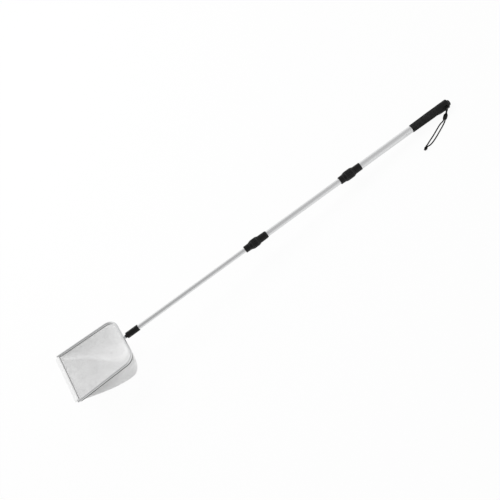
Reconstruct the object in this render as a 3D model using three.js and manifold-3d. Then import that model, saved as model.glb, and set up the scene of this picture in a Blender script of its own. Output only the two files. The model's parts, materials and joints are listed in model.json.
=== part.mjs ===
// Leaf skimmer net: a scoop-shaped net bag on a bent rod frame, carried by a telescopic pole of three tubes.
// A twist lock on each joint of the pole clamps the thinner tube: its fluted nut pushes a cone over a split
// collet. The grip ends in a cap with an eye for a wrist cord, and the frame screws into the pole's socket.
//
// Lengths are in millimetres and +Z is up. The tool is built in the pole's own frame: x runs along the pole's
// axis from the net to the grip, x = 0 is the centre of the frame's back rod, and the rods lie in z = 0.
// The last section lays the tool on a floor, on the bag's bottom and the cap, with the origin below its middle.
import * as THREE from "three";
import { mergeVertices } from "three/addons/utils/BufferGeometryUtils.js";
import Module from "manifold-3d";

// Fits and facets
const GAP = 0.3; // between neighbouring pieces
const RUNNING_GAP = 0.35; // between a tube and what it slides or turns in
const ROUND_STEPS = 32; // facets round the pole's pieces
const FINE_STEPS = 3; // facets in a rounded corner
const EDGE_ROUNDING = 1; // on the plastic pieces' rims
const OVERCUT = 5; // how far a cutter reaches past what it cuts
const MERGE_TOLERANCE = 1e-4;

// Scoop frame, measured on the rods' centre lines
const FRAME_LENGTH = 181;
const FRAME_FRONT_WIDTH = 160;
const FRAME_BACK_WIDTH = 146;
const FRAME_BEND_RADIUS = 28;
const ROD_DIAMETER = 6.5;
const ROD_SIDES = 12;
const ROD_STEPS = 48;
const ROD_END_REACH = 2.5; // how far the rods run on past the front wire

// Front edge
const WIRE_DIAMETER = 3;
const LIP_BEAD_WALL = 1.2;
const LIP_BLADE_LENGTH = 6;
const LIP_BLADE_THICKNESS = 1.8;

// Net bag
const BAG_DEPTH = 93;
const BAG_WALL = 1.2;
const BAG_DEEPEST = 42; // from the back rod to the deepest line
const BAG_TAPER = 0.05; // how much narrower the bottom is than the mouth
const BAG_SQUARENESS = 0.5; // below 1, the bag's section is boxier than an ellipse
const BAG_FRONT_HANDLES = [[0.8, 0.62], [0.5, 1]]; // of the bottom line, in frame lengths and bag depths
const BAG_BACK_HANDLES = [[0.45, 1], [0.15, 0.55]]; // of the back wall, in BAG_DEEPEST and bag depths
const BAG_ACROSS = 18; // facets from rim to rim
const BAG_ALONG = 16; // facets from front to back
const NORMAL_STEP = 1e-3; // share of the bag over which its slope is taken

// Stud, washer and socket that join the frame to the pole
const STUD_DIAMETER = 8;
const STUD_ENGAGEMENT = 15; // length of stud inside the socket
const BOSS_DIAMETER = 10;
const BOSS_LENGTH = 3.2;
const WASHER_DIAMETER = 9;
const WASHER_THICKNESS = 3.6;
const SOCKET_DIAMETER = 17.3;
const SOCKET_LENGTH = 38.7;
const SOCKET_CHAMFER = 3;
const SOCKET_FLOOR = 3; // wall that the threaded insert seats on
const INSERT_LENGTH = 9;
const INSERT_WIDTH = 12;

// Pole tubes
const LOWER_TUBE_DIAMETER = 13;
const MIDDLE_TUBE_DIAMETER = 16;
const UPPER_TUBE_DIAMETER = 19;
const TUBE_WALL = 0.9;
const LOWER_TUBE_SHOWN = 348.3;
const MIDDLE_TUBE_SHOWN = 238.2;
const UPPER_TUBE_SHOWN = 166.9;
const LOWER_TUBE_INSERTION = 29; // length of the thinner tube inside the wider one
const MIDDLE_TUBE_INSERTION = 36;

// Guide bushes on the inner ends of the two sliding tubes
const BUSH_FLANGE = 3;
const BUSH_SPIGOT = 8;
const BUSH_WALL = 1.5;

// Twist locks
const LOWER_NOSE_LENGTH = 15.5;
const LOWER_BARREL_LENGTH = 17;
const LOWER_BODY_LENGTH = 25;
const LOWER_NOSE_DIAMETER = 19.5;
const LOWER_BARREL_DIAMETER = 25.6;
const LOWER_BODY_DIAMETER = 20.9;
const UPPER_NOSE_LENGTH = 12.4;
const UPPER_BARREL_LENGTH = 20.3;
const UPPER_BODY_LENGTH = 20.8;
const UPPER_NOSE_DIAMETER = 21.9;
const UPPER_BARREL_DIAMETER = 26.9;
const UPPER_BODY_DIAMETER = 21.5;
const FRONT_FLARE = 8; // length over which the nut widens from its nose to its barrel
const BACK_FLARE = 6.5; // length over which it narrows again to the body
const MOULD_DRAFT = 0.35; // how much the nose and the body narrow in radius to their ends
const BODY_END_TAPER = 4.5; // length of the body's narrowed end
const BODY_END_WALL = 0.7;
const SPIGOT_WALL = 1.6; // of the body's spigot inside the nut
const SPIGOT_LENGTH = 21;
const LOCK_LIP = 3; // closed ring at the nose, before the nut's cone
const LOCK_SHOULDER = 2.5; // wall that the wider tube's end seats on
const COLLET_FLANGE = 3.5;
const COLLET_TIP_WALL = 0.8;
const COLLET_SLOTS = 6;
const COLLET_SLOT_WIDTH = 1.6;
const FLUTES = 16;
const FLUTE_RADIUS = 2.1;
const FLUTE_DEPTH = 0.95;
const FLUTE_MARGIN = 0.8; // plain length at each end of the fluted barrel

// Grip and end cap
const GRIP_DIAMETER = 23.5;
const GRIP_FRONT_DIAMETER = 22;
const GRIP_TAPER_LENGTH = 60; // length over which the grip widens from its front
const GRIP_LENGTH = 123.6;
const GRIP_ROUNDING = 1.6;
const GRIP_PAST_TUBE = 18.7; // how far the grip and its cap run on past the upper tube's end
const CAP_SLANT = 36; // how much further the cap reaches on its eye side than on the other
const CAP_SLANT_END = 15.2; // from the cap's end to the slanted joint, on the side away from the eye
const CAP_PLUG_LENGTH = 11; // inside the tube
const CAP_DOME_LENGTH = 8;
const CAP_FLAT_DIAMETER = 9.6; // the flat middle of the domed end
const DOME_STEPS = 6;
const KEEL_HEIGHT = 4; // how far the eye's keel stands out from the grip
const KEEL_THICKNESS = 7;
const KEEL_ROUNDING = 2.4;
const KEEL_RAMP = 19; // length over which the keel rises
const EYE_DIAMETER = 4.6;
const EYE_WALL = 1.9;
const EYE_FROM_END = 14.6;
const KEEL_PAST_EYE = 8; // from the eye's centre to the keel's end

// Wrist cord, with route points in the finished tool's frame, on the floor z = 0
const CORD_DIAMETER = 3;
const CORD_SIDES = 8;
const CORD_STEPS = 38; // on each of the two strands
const INNER_STRAND = [
  [611.95, -11.55, 12.0],
  [611.95, -11.55, 9.3],
  [611.6, -11.8, 7.0],
  [610.4, -12.4, 5.1],
  [608.7, -13.3, 3.8],
  [606.7, -14.4, 3.3],
  [601.1, -17.4, 3.3],
  [595.8, -20.5, 3.3],
  [584, -29.8, 3.3],
  [579.6, -31.4, 2.2],
  [574.8, -31.8, 1.6],
  [568.1, -33.4, 1.6],
  [556, -38.4, 1.6],
  [544.2, -43.9, 1.6],
  [532.1, -49.1, 1.6],
  [519.6, -53.7, 1.6],
  [512.7, -56.6, 1.6],
  [507.7, -59.0, 2.2],
  [504.3, -60.8, 3.4],
  [501.8, -62.0, 4.2],
  [499.4, -63.1, 4.3],
];
const OUTER_STRAND = [
  [611.95, -11.55, 12.3],
  [611.95, -11.55, 14.2],
  [610.9, -12.5, 17.9],
  [608.2, -14.9, 19.8],
  [605.3, -17.5, 18.7],
  [603.7, -19.0, 15.4],
  [603.1, -19.5, 11.5],
  [602.5, -20.1, 7.7],
  [601.7, -20.8, 5.5],
  [600.3, -22.1, 3.9],
  [598.4, -23.8, 3.3],
  [586.6, -33.1, 3.3],
  [582.8, -35.5, 2.2],
  [579.1, -37.6, 1.6],
  [574.5, -40.2, 1.6],
  [562.8, -46.0, 1.6],
  [550.9, -51.5, 1.6],
  [539.1, -56.9, 1.6],
  [526.8, -61.7, 1.6],
  [519.6, -63.9, 1.6],
  [512.4, -65.3, 1.8],
  [507, -65.3, 3.0],
  [503.5, -65.6, 4.0],
  [501.2, -66.7, 4.3],
];
const BEAD_PLACE = [591.2, -26.8, 3.3];
const BEAD_HEADING = [-0.783, -0.622];
const BEAD_LENGTH = 15;
const BEAD_WIDTH = 10.6;
const BEAD_HEIGHT = 6.4;
const BEAD_ROUNDING = 3;
const KNOT_PLACE = [496.8, -66.6, 4.3];
const KNOT_HEADING = [-0.9, -0.436];
const KNOT_LENGTH = 13;
const KNOT_DIAMETER = 8.4;
const KNOT_FACETS = 16;
const KNOT_FRONT_ROUNDING = 2.6;
const KNOT_BACK_ROUNDING = 0.8;

const SETTLING_STEPS = 6; // times that the tool is tipped a little further onto the floor

// Colours
const ALUMINIUM = { color: 0xc9ccd0, roughness: 0.32, metalness: 1 };
const STEEL = { color: 0xb9bcc0, roughness: 0.3, metalness: 1 };
const BRASS = { color: 0xc7a35a, roughness: 0.35, metalness: 1 };
const BLACK_PLASTIC = { color: 0x1b1b1c, roughness: 0.45, metalness: 0 };
const BLACK_RUBBER = { color: 0x232324, roughness: 0.85, metalness: 0 };
const NATURAL_PLASTIC = { color: 0xe4e2da, roughness: 0.5, metalness: 0 };
const WHITE_PLASTIC = { color: 0xf2f2f0, roughness: 0.4, metalness: 0 };
const NET_MESH = { color: 0xd9dadc, roughness: 0.8, metalness: 0 };
const BLACK_CORD = { color: 0x141414, roughness: 0.9, metalness: 0 };

// ---------------------------------------------------------------- shared shapes

const wasm = await Module();
wasm.setup();

/** A closed geometry as a solid that can be joined and cut. */
function solidOf(geometry) {
  const bare = geometry.clone();
  bare.deleteAttribute("normal");
  bare.deleteAttribute("uv");
  const merged = mergeVertices(bare, MERGE_TOLERANCE);
  return new wasm.Manifold(
    new wasm.Mesh({
      numProp: 3,
      vertProperties: new Float32Array(merged.attributes.position.array),
      triVerts: new Uint32Array(merged.index.array),
    }),
  );
}

/** A solid's surface as a geometry. */
function geometryOf(solid) {
  const { vertProperties, triVerts } = solid.getMesh();
  const geometry = new THREE.BufferGeometry();
  geometry.setAttribute("position", new THREE.BufferAttribute(vertProperties, 3));
  geometry.setIndex(new THREE.BufferAttribute(triVerts, 1));
  geometry.computeVertexNormals();
  return geometry;
}

/** Rounds the corners of a closed outline that are given as [x, y, radius]; plain ones are [x, y]. */
function rounded(corners) {
  return corners.flatMap(([x, y, radius = 0], i) => {
    if (radius === 0) return [[x, y]];
    const here = new THREE.Vector2(x, y);
    const before = new THREE.Vector2(...corners.at(i - 1).slice(0, 2)).sub(here).normalize();
    const after = new THREE.Vector2(...corners[(i + 1) % corners.length].slice(0, 2)).sub(here).normalize();
    const half = before.angleTo(after) / 2;
    const middle = before.clone().add(after).normalize();
    const centre = here.clone().addScaledVector(middle, radius / Math.sin(half));
    const start = here.clone().addScaledVector(before, radius / Math.tan(half)).sub(centre);
    const turn = Math.sign(before.cross(after)) * (Math.PI - 2 * half);
    return Array.from({ length: FINE_STEPS + 1 }, (_, k) => {
      const point = start.clone().rotateAround(new THREE.Vector2(), (-turn * k) / FINE_STEPS).add(centre);
      return [point.x, point.y];
    });
  });
}

/** Turns a closed outline of [along the pole, radius, rounding] corners about the pole's axis. */
function revolve(corners, steps = ROUND_STEPS) {
  const points = rounded(corners).map(([x, radius]) => new THREE.Vector2(radius, x));
  if (THREE.ShapeUtils.area(points) < 0) points.reverse();
  points.push(points[0].clone());
  return new THREE.LatheGeometry(points, steps).rotateZ(-Math.PI / 2);
}

/** A straight round tube from one place along the pole to another. */
function pipe(from, to, radius, bore, steps = ROUND_STEPS) {
  return revolve([[from, bore], [to, bore], [to, radius], [from, radius]], steps);
}

/** A round bar along the pole, for joining and cutting. */
function bar(from, to, radius, steps = ROUND_STEPS) {
  return new THREE.CylinderGeometry(radius, radius, to - from, steps)
    .rotateZ(-Math.PI / 2)
    .translate((from + to) / 2, 0, 0);
}

/** A block between two corners. */
function block(low, high) {
  const size = high.map((value, i) => value - low[i]);
  const middle = high.map((value, i) => (value + low[i]) / 2);
  return new THREE.BoxGeometry(...size).translate(...middle);
}

/** A flat shape through [x, y] points. */
function shapeOf(points) {
  return new THREE.Shape(points.map(([x, y]) => new THREE.Vector2(x, y)));
}

/** A regular polygon of the given corner radius, as a flat shape. */
function polygonShape(radius, sides) {
  const corner = (k) => (2 * Math.PI * (k + 0.5)) / sides;
  const place = (_, k) => [radius * Math.cos(corner(k)), radius * Math.sin(corner(k))];
  return shapeOf(Array.from({ length: sides }, place));
}

/** A round bar swept along a curve. */
function sweep(curve, radius, sides, steps) {
  return new THREE.ExtrudeGeometry(polygonShape(radius, sides), { steps, extrudePath: curve, bevelEnabled: false });
}

function mesh(name, geometry, look) {
  const made = new THREE.Mesh(geometry, new THREE.MeshStandardMaterial(look));
  made.name = name;
  return made;
}

// ---------------------------------------------------------------- scoop frame

const rodRadius = ROD_DIAMETER / 2;
const rodEndX = -FRAME_LENGTH - ROD_END_REACH;
const flare = (FRAME_FRONT_WIDTH - FRAME_BACK_WIDTH) / 2 / FRAME_LENGTH;

/** Half the distance between the side rods' centre lines at a place along the pole. */
function halfWidthAt(x) {
  return FRAME_BACK_WIDTH / 2 - x * flare;
}

/** The rods' centre line as [x, y] points, from the front left end round the back to the front right end. */
function framePoints(endX) {
  const outline = rounded([
    [endX, 0],
    [endX, halfWidthAt(endX)],
    [0, halfWidthAt(0), FRAME_BEND_RADIUS],
    [0, -halfWidthAt(0), FRAME_BEND_RADIUS],
    [endX, -halfWidthAt(endX)],
  ]);
  return outline.slice(1);
}

/** A path of straight lines through [x, y] points at a height z. */
function flatPath(points, z) {
  const path = new THREE.CurvePath();
  for (let i = 1; i < points.length; i++) {
    const [a, b] = [points[i - 1], points[i]].map(([x, y]) => new THREE.Vector3(x, y, z));
    path.add(new THREE.LineCurve3(a, b));
  }
  return path;
}

function hoopRod() {
  const path = flatPath(framePoints(rodEndX), 0);
  return mesh("hoop_rod", sweep(path, rodRadius, ROD_SIDES, ROD_STEPS), ALUMINIUM);
}

// ---------------------------------------------------------------- front edge

const wireRadius = WIRE_DIAMETER / 2;
const beadRadius = wireRadius + GAP + LIP_BEAD_WALL;
const frontHalf = halfWidthAt(-FRAME_LENGTH) - rodRadius - GAP;

/** Extrudes an [x, z] outline across the scoop, centred on the pole. */
function acrossScoop(shape, halfLength) {
  return new THREE.ExtrudeGeometry(shape, { depth: 2 * halfLength, bevelEnabled: false })
    .rotateX(Math.PI / 2)
    .translate(0, halfLength, 0);
}

/** A straight wire between the rods' ends. */
function frontWire() {
  const wire = acrossScoop(polygonShape(wireRadius, ROD_SIDES), frontHalf).translate(-FRAME_LENGTH, 0, 0);
  return mesh("front_wire", wire, STEEL);
}

/** The soft lip: a bead round the front wire, with a thin blade that runs forward from it. */
function frontLip() {
  const tip = -FRAME_LENGTH - beadRadius - LIP_BLADE_LENGTH;
  const half = LIP_BLADE_THICKNESS / 2;
  const joint = Math.asin(half / beadRadius);
  const shape = new THREE.Shape();
  shape.moveTo(-FRAME_LENGTH - beadRadius * Math.cos(joint), -half);
  shape.absarc(-FRAME_LENGTH, 0, beadRadius, Math.PI + joint, 3 * Math.PI - joint, false);
  shape.lineTo(tip + half / 2, half / 2);
  shape.lineTo(tip, 0);
  shape.lineTo(tip + half / 2, -half / 2);
  const bore = new THREE.Path();
  bore.absarc(-FRAME_LENGTH, 0, wireRadius + GAP, 0, 2 * Math.PI, true);
  shape.holes.push(bore);
  return mesh("front_lip", acrossScoop(shape, frontHalf), WHITE_PLASTIC);
}

// ---------------------------------------------------------------- net bag

const bagTop = -(Math.max(rodRadius, beadRadius) + GAP + BAG_WALL / 2);

/** The bag's rim on one side: along the rod from the front, then round the bend to the back rod. */
function rimPath() {
  const half = framePoints(-FRAME_LENGTH);
  return flatPath(half.slice(0, half.length / 2), bagTop);
}

/** The bag's lowest line, from the front edge down to the deepest line and up the back wall. */
function keelPath() {
  const at = (length, x, depth) => new THREE.Vector3(-x * length, 0, bagTop - depth * BAG_DEPTH);
  const along = (length, handles) => handles.map(([x, depth]) => at(length, x, depth));
  const deepest = at(BAG_DEEPEST, 1, 1);
  const path = new THREE.CurvePath();
  path.add(
    new THREE.CubicBezierCurve3(at(FRAME_LENGTH, 1, 0), ...along(FRAME_LENGTH, BAG_FRONT_HANDLES), deepest),
  );
  path.add(new THREE.CubicBezierCurve3(deepest, ...along(BAG_DEEPEST, BAG_BACK_HANDLES), at(0, 0, 0)));
  return path;
}

/** A point of the bag's middle surface: along from front to back, round from the left rim to the right. */
function bagPoint(rim, keel, along, round) {
  const edge = rim.getPointAt(along);
  const low = keel.getPointAt(along);
  const angle = Math.PI * round;
  const side = Math.sign(Math.cos(angle)) * Math.abs(Math.cos(angle)) ** BAG_SQUARENESS;
  const down = Math.sin(angle) ** BAG_SQUARENESS;
  return new THREE.Vector3(
    THREE.MathUtils.lerp(edge.x, low.x, down),
    edge.y * side * (1 - BAG_TAPER * down),
    THREE.MathUtils.lerp(edge.z, low.z, down),
  );
}

/** The bag as a shell of even wall, open at the top: two skins joined round their edges. */
function netBag() {
  const rim = rimPath();
  const keel = keelPath();
  const step = NORMAL_STEP;
  const point = (along, round) => bagPoint(rim, keel, along, round);
  const clamp = (value) => THREE.MathUtils.clamp(value, 0, 1);
  const normalAt = (along, round) => {
    const [a, r] = [along, round].map((value) => THREE.MathUtils.clamp(value, step, 1 - step));
    const du = point(clamp(a + step), r).sub(point(clamp(a - step), r));
    const dv = point(a, clamp(r + step)).sub(point(a, clamp(r - step)));
    return du.cross(dv).normalize();
  };
  const positions = [];
  for (const offset of [BAG_WALL / 2, -BAG_WALL / 2]) {
    for (let i = 0; i <= BAG_ALONG; i++) {
      for (let j = 0; j <= BAG_ACROSS; j++) {
        const [along, round] = [i / BAG_ALONG, j / BAG_ACROSS];
        positions.push(...point(along, round).addScaledVector(normalAt(along, round), offset));
      }
    }
  }
  const row = BAG_ACROSS + 1;
  const skin = row * (BAG_ALONG + 1);
  const faces = [];
  const quad = (a, b, c, d) => faces.push(a, b, c, a, c, d);
  for (let i = 0; i < BAG_ALONG; i++) {
    for (let j = 0; j < BAG_ACROSS; j++) {
      const a = i * row + j;
      quad(a, a + row, a + row + 1, a + 1);
      quad(skin + a, skin + a + 1, skin + a + row + 1, skin + a + row);
    }
  }
  const edge = [];
  for (let j = 0; j < BAG_ACROSS; j++) edge.push(j);
  for (let i = 0; i < BAG_ALONG; i++) edge.push(i * row + BAG_ACROSS);
  for (let j = BAG_ACROSS; j > 0; j--) edge.push(BAG_ALONG * row + j);
  for (let i = BAG_ALONG; i > 0; i--) edge.push(i * row);
  edge.forEach((a, k) => {
    const b = edge[(k + 1) % edge.length];
    quad(a, b, skin + b, skin + a);
  });
  const geometry = new THREE.BufferGeometry();
  geometry.setAttribute("position", new THREE.Float32BufferAttribute(positions, 3));
  geometry.setIndex(faces);
  geometry.computeVertexNormals();
  return mesh("net_bag", geometry, NET_MESH);
}

// ---------------------------------------------------------------- stud and socket

const bossStart = rodRadius + GAP;
const bossEnd = bossStart + BOSS_LENGTH;
const washerStart = bossEnd + GAP;
const washerEnd = washerStart + WASHER_THICKNESS;
const socketStart = washerEnd + GAP;
const socketEnd = socketStart + SOCKET_LENGTH;
const insertStart = socketStart + SOCKET_FLOOR + GAP;
const insertEnd = insertStart + INSERT_LENGTH;
const lowerTubeStart = insertEnd + GAP;
const studRadius = STUD_DIAMETER / 2;
const lowerTubeRadius = LOWER_TUBE_DIAMETER / 2;
const middleTubeRadius = MIDDLE_TUBE_DIAMETER / 2;
const upperTubeRadius = UPPER_TUBE_DIAMETER / 2;

/** The screw on the frame: a boss that saddles the back rod, and a threaded shank. */
function headStud() {
  const boss = solidOf(bar(0, bossEnd, BOSS_DIAMETER / 2, ROUND_STEPS / 2));
  const shank = solidOf(bar(0, socketStart + STUD_ENGAGEMENT, studRadius, ROUND_STEPS / 2));
  const reach = BOSS_DIAMETER;
  const rod = new THREE.CylinderGeometry(bossStart, bossStart, 2 * reach, ROUND_STEPS);
  const behind = block([-reach, -reach, -reach], [BAG_WALL + GAP, reach, reach]);
  const stud = boss.add(shank).subtract(solidOf(rod)).subtract(solidOf(behind));
  const front = stud.decompose().at(-1);
  return mesh("head_stud", geometryOf(front), STEEL);
}

function studWasher() {
  const washer = pipe(washerStart, washerEnd, WASHER_DIAMETER / 2, studRadius + GAP, ROUND_STEPS / 2);
  return mesh("stud_washer", washer, BLACK_RUBBER);
}

/** The socket sleeve: the tube slides in from one end, and the stud enters the other. */
function socketSleeve() {
  const outer = SOCKET_DIAMETER / 2;
  const pocket = INSERT_WIDTH / 2 / Math.cos(Math.PI / 6) + GAP;
  const tubeBore = Math.max(lowerTubeRadius, pocket) + GAP;
  return mesh(
    "socket_sleeve",
    revolve([
      [socketStart, studRadius + RUNNING_GAP],
      [socketStart + SOCKET_FLOOR, studRadius + RUNNING_GAP],
      [socketStart + SOCKET_FLOOR, tubeBore],
      [socketEnd, tubeBore],
      [socketEnd, outer, EDGE_ROUNDING],
      [socketStart + SOCKET_CHAMFER, outer, EDGE_ROUNDING],
      [socketStart, outer - SOCKET_CHAMFER],
    ]),
    BLACK_PLASTIC,
  );
}

/** The threaded insert: a hexagonal nut held between the socket's floor and the tube's end. */
function socketInsert() {
  const cornerRadius = INSERT_WIDTH / 2 / Math.cos(Math.PI / 6);
  const nut = solidOf(bar(insertStart, insertEnd, cornerRadius, 6));
  const bore = solidOf(bar(insertStart - OVERCUT, insertEnd + OVERCUT, studRadius + RUNNING_GAP, ROUND_STEPS / 2));
  return mesh("socket_insert", geometryOf(nut.subtract(bore)), BRASS);
}

// ---------------------------------------------------------------- twist locks

/** The sizes of one twist lock, and the places along the pole that follow from them. */
function lockPlan(start, sizes) {
  const barrelStart = start + sizes.noseLength + FRONT_FLARE;
  const barrelEnd = barrelStart + sizes.barrelLength;
  const nutEnd = barrelEnd + BACK_FLARE;
  const passage = sizes.inner + RUNNING_GAP;
  return {
    ...sizes,
    start,
    barrelStart,
    barrelEnd,
    nutEnd,
    passage,
    end: nutEnd + GAP + sizes.bodyLength,
    spigotRadius: passage + SPIGOT_WALL,
    spigotStart: nutEnd - SPIGOT_LENGTH,
    seat: nutEnd + GAP + LOCK_SHOULDER,
    coneStart: start + LOCK_LIP,
  };
}

const lowerLock = lockPlan(socketEnd + LOWER_TUBE_SHOWN, {
  name: "lower_lock",
  inner: lowerTubeRadius,
  outer: middleTubeRadius,
  noseLength: LOWER_NOSE_LENGTH,
  barrelLength: LOWER_BARREL_LENGTH,
  bodyLength: LOWER_BODY_LENGTH,
  noseDiameter: LOWER_NOSE_DIAMETER,
  barrelDiameter: LOWER_BARREL_DIAMETER,
  bodyDiameter: LOWER_BODY_DIAMETER,
});
const upperLock = lockPlan(lowerLock.end + MIDDLE_TUBE_SHOWN, {
  name: "upper_lock",
  inner: middleTubeRadius,
  outer: upperTubeRadius,
  noseLength: UPPER_NOSE_LENGTH,
  barrelLength: UPPER_BARREL_LENGTH,
  bodyLength: UPPER_BODY_LENGTH,
  noseDiameter: UPPER_NOSE_DIAMETER,
  barrelDiameter: UPPER_BARREL_DIAMETER,
  bodyDiameter: UPPER_BODY_DIAMETER,
});

/** The radius of the nut's inner cone at a place along the pole, from the nose to the spigot's end. */
function coneRadius(lock, x) {
  const tip = lock.passage + COLLET_TIP_WALL;
  const along = (x - lock.coneStart) / (lock.spigotStart - lock.coneStart);
  return THREE.MathUtils.lerp(tip, lock.spigotRadius + GAP, along);
}

/** The turning nut: nose, fluted barrel and two flares outside, a cone and a bore inside. */
function lockNut(lock) {
  const nose = lock.noseDiameter / 2;
  const barrel = lock.barrelDiameter / 2;
  const body = lock.bodyDiameter / 2;
  const shell = revolve([
    [lock.start, lock.passage],
    [lock.coneStart, lock.passage],
    [lock.coneStart, coneRadius(lock, lock.coneStart) + GAP],
    [lock.spigotStart, coneRadius(lock, lock.spigotStart) + GAP],
    [lock.nutEnd, coneRadius(lock, lock.spigotStart) + GAP],
    [lock.nutEnd, body],
    [lock.barrelEnd, barrel, BACK_FLARE / 2],
    [lock.barrelStart, barrel, FRONT_FLARE / 2],
    [lock.barrelStart - FRONT_FLARE, nose, FRONT_FLARE / 2],
    [lock.start, nose - MOULD_DRAFT, EDGE_ROUNDING],
  ]);
  const length = lock.barrelEnd - lock.barrelStart - 2 * FLUTE_MARGIN - 2 * FLUTE_RADIUS;
  let nut = solidOf(shell);
  for (let k = 0; k < FLUTES; k++) {
    const flute = new THREE.CapsuleGeometry(FLUTE_RADIUS, length, 2, 8)
      .rotateZ(-Math.PI / 2)
      .translate((lock.barrelStart + lock.barrelEnd) / 2, 0, barrel + FLUTE_RADIUS - FLUTE_DEPTH)
      .rotateX((2 * Math.PI * k) / FLUTES);
    nut = nut.subtract(solidOf(flute));
  }
  return mesh(`${lock.name}_nut`, geometryOf(nut), BLACK_PLASTIC);
}

/** The split collet: a cone that the nut closes on the inner tube, slotted from its tip. */
function lockCollet(lock) {
  const tip = lock.coneStart + GAP;
  const root = lock.spigotStart - GAP;
  const cone = revolve([
    [tip, lock.passage],
    [root, lock.passage],
    [root, coneRadius(lock, root) - GAP],
    [root - COLLET_FLANGE, coneRadius(lock, root - COLLET_FLANGE) - GAP],
    [tip, coneRadius(lock, tip)],
  ]);
  let collet = solidOf(cone);
  for (let k = 0; k < COLLET_SLOTS; k++) {
    const half = COLLET_SLOT_WIDTH / 2;
    const slot = block([tip - OVERCUT, -half, 0], [root - COLLET_FLANGE, half, lock.noseDiameter])
      .rotateX((2 * Math.PI * k) / COLLET_SLOTS);
    collet = collet.subtract(solidOf(slot));
  }
  return mesh(`${lock.name}_collet`, geometryOf(collet), NATURAL_PLASTIC);
}

/** The body: a sleeve on the wider tube's end, a shoulder inside, and the spigot that the nut turns on. */
function lockBody(lock) {
  const outside = lock.bodyDiameter / 2;
  const collarStart = lock.nutEnd + GAP;
  const bore = lock.outer + GAP;
  return mesh(
    `${lock.name}_body`,
    revolve([
      [lock.spigotStart, lock.passage],
      [lock.seat, lock.passage],
      [lock.seat, bore],
      [lock.end, bore],
      [lock.end, bore + BODY_END_WALL],
      [lock.end - BODY_END_TAPER, outside - MOULD_DRAFT, BODY_END_TAPER / 2],
      [collarStart, outside],
      [collarStart, lock.spigotRadius],
      [lock.spigotStart, lock.spigotRadius],
    ]),
    BLACK_PLASTIC,
  );
}

// ---------------------------------------------------------------- tubes and guide bushes

const middleTubeStart = lowerLock.seat + GAP;
const upperTubeStart = upperLock.seat + GAP;
const lowerTubeEnd = middleTubeStart + LOWER_TUBE_INSERTION;
const middleTubeEnd = upperTubeStart + MIDDLE_TUBE_INSERTION;
const gripStart = upperLock.end + UPPER_TUBE_SHOWN;
const gripEnd = gripStart + GRIP_LENGTH;
const upperTubeEnd = gripEnd - GRIP_PAST_TUBE;

function poleTube(name, from, to, radius) {
  return mesh(name, pipe(from, to, radius, radius - TUBE_WALL), ALUMINIUM);
}

/** A bush whose flange slides in the wider tube and whose spigot turns in the thinner tube's end. */
function guideBush(name, tubeEnd, innerTube, outerTube) {
  const spigot = innerTube - TUBE_WALL - GAP;
  const flange = outerTube - TUBE_WALL - GAP;
  return mesh(
    name,
    revolve([
      [tubeEnd - BUSH_SPIGOT, spigot - BUSH_WALL],
      [tubeEnd + GAP + BUSH_FLANGE, spigot - BUSH_WALL],
      [tubeEnd + GAP + BUSH_FLANGE, flange],
      [tubeEnd + GAP, flange],
      [tubeEnd + GAP, spigot],
      [tubeEnd - BUSH_SPIGOT, spigot],
    ]),
    NATURAL_PLASTIC,
  );
}

// ---------------------------------------------------------------- grip and end cap

const gripRadius = GRIP_DIAMETER / 2;

/** The half of space on the cap's side of the slanted joint, moved along the pole by a step. */
function capSide(shift) {
  const wide = 2 * GRIP_DIAMETER;
  const slope = CAP_SLANT / GRIP_DIAMETER;
  const jointAt = (y) => gripEnd - CAP_SLANT_END - (gripRadius - y) * slope + shift;
  const far = jointAt(wide) + wide;
  const outline = [
    [jointAt(-wide), -wide],
    [far, -wide],
    [far, wide],
    [jointAt(wide), wide],
  ];
  const plan = new THREE.ExtrudeGeometry(shapeOf(outline), { depth: 2 * wide, bevelEnabled: false });
  return solidOf(plan.translate(0, 0, -wide));
}

/** The soft sleeve over the upper tube, cut off on a slant where the cap begins. */
function gripSleeve() {
  const bore = upperTubeRadius + GAP;
  const sleeve = revolve([
    [gripStart, bore],
    [gripEnd, bore],
    [gripEnd, gripRadius],
    [gripStart + GRIP_TAPER_LENGTH, gripRadius],
    [gripStart, GRIP_FRONT_DIAMETER / 2, GRIP_ROUNDING],
  ]);
  return mesh("grip_sleeve", geometryOf(solidOf(sleeve).subtract(capSide(-GAP))), BLACK_RUBBER);
}

/** The domed end's outline as [along the pole, radius] points, from its flat middle to the full radius. */
function domeOutline() {
  const flat = CAP_FLAT_DIAMETER / GRIP_DIAMETER;
  const start = gripEnd - CAP_DOME_LENGTH;
  const length = CAP_DOME_LENGTH / Math.sqrt(1 - flat ** 2);
  return Array.from({ length: DOME_STEPS + 1 }, (_, k) => {
    const angle = Math.acos(flat) * (1 - k / DOME_STEPS);
    return [start + length * Math.sin(angle), gripRadius * Math.cos(angle)];
  });
}

/** The keel that carries the eye, as a plate with rounded edges along the cap's side. */
function capKeel(eyeX) {
  const keelStart = gripEnd - CAP_SLANT_END - CAP_SLANT;
  const keelEnd = eyeX + KEEL_PAST_EYE;
  const reach = gripRadius + KEEL_HEIGHT;
  const bevel = KEEL_ROUNDING / 2;
  const outline = rounded([
    [keelStart, 0],
    [keelEnd, 0],
    [keelEnd, -reach, KEEL_HEIGHT],
    [keelStart + KEEL_RAMP, -reach, KEEL_RAMP / 2],
    [keelStart, -gripRadius],
  ]);
  return new THREE.ExtrudeGeometry(shapeOf(outline), {
    depth: KEEL_THICKNESS - 2 * bevel,
    bevelThickness: bevel,
    bevelSize: bevel,
    bevelOffset: -bevel,
    bevelSegments: 1,
  }).translate(0, 0, bevel - KEEL_THICKNESS / 2);
}

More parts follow.
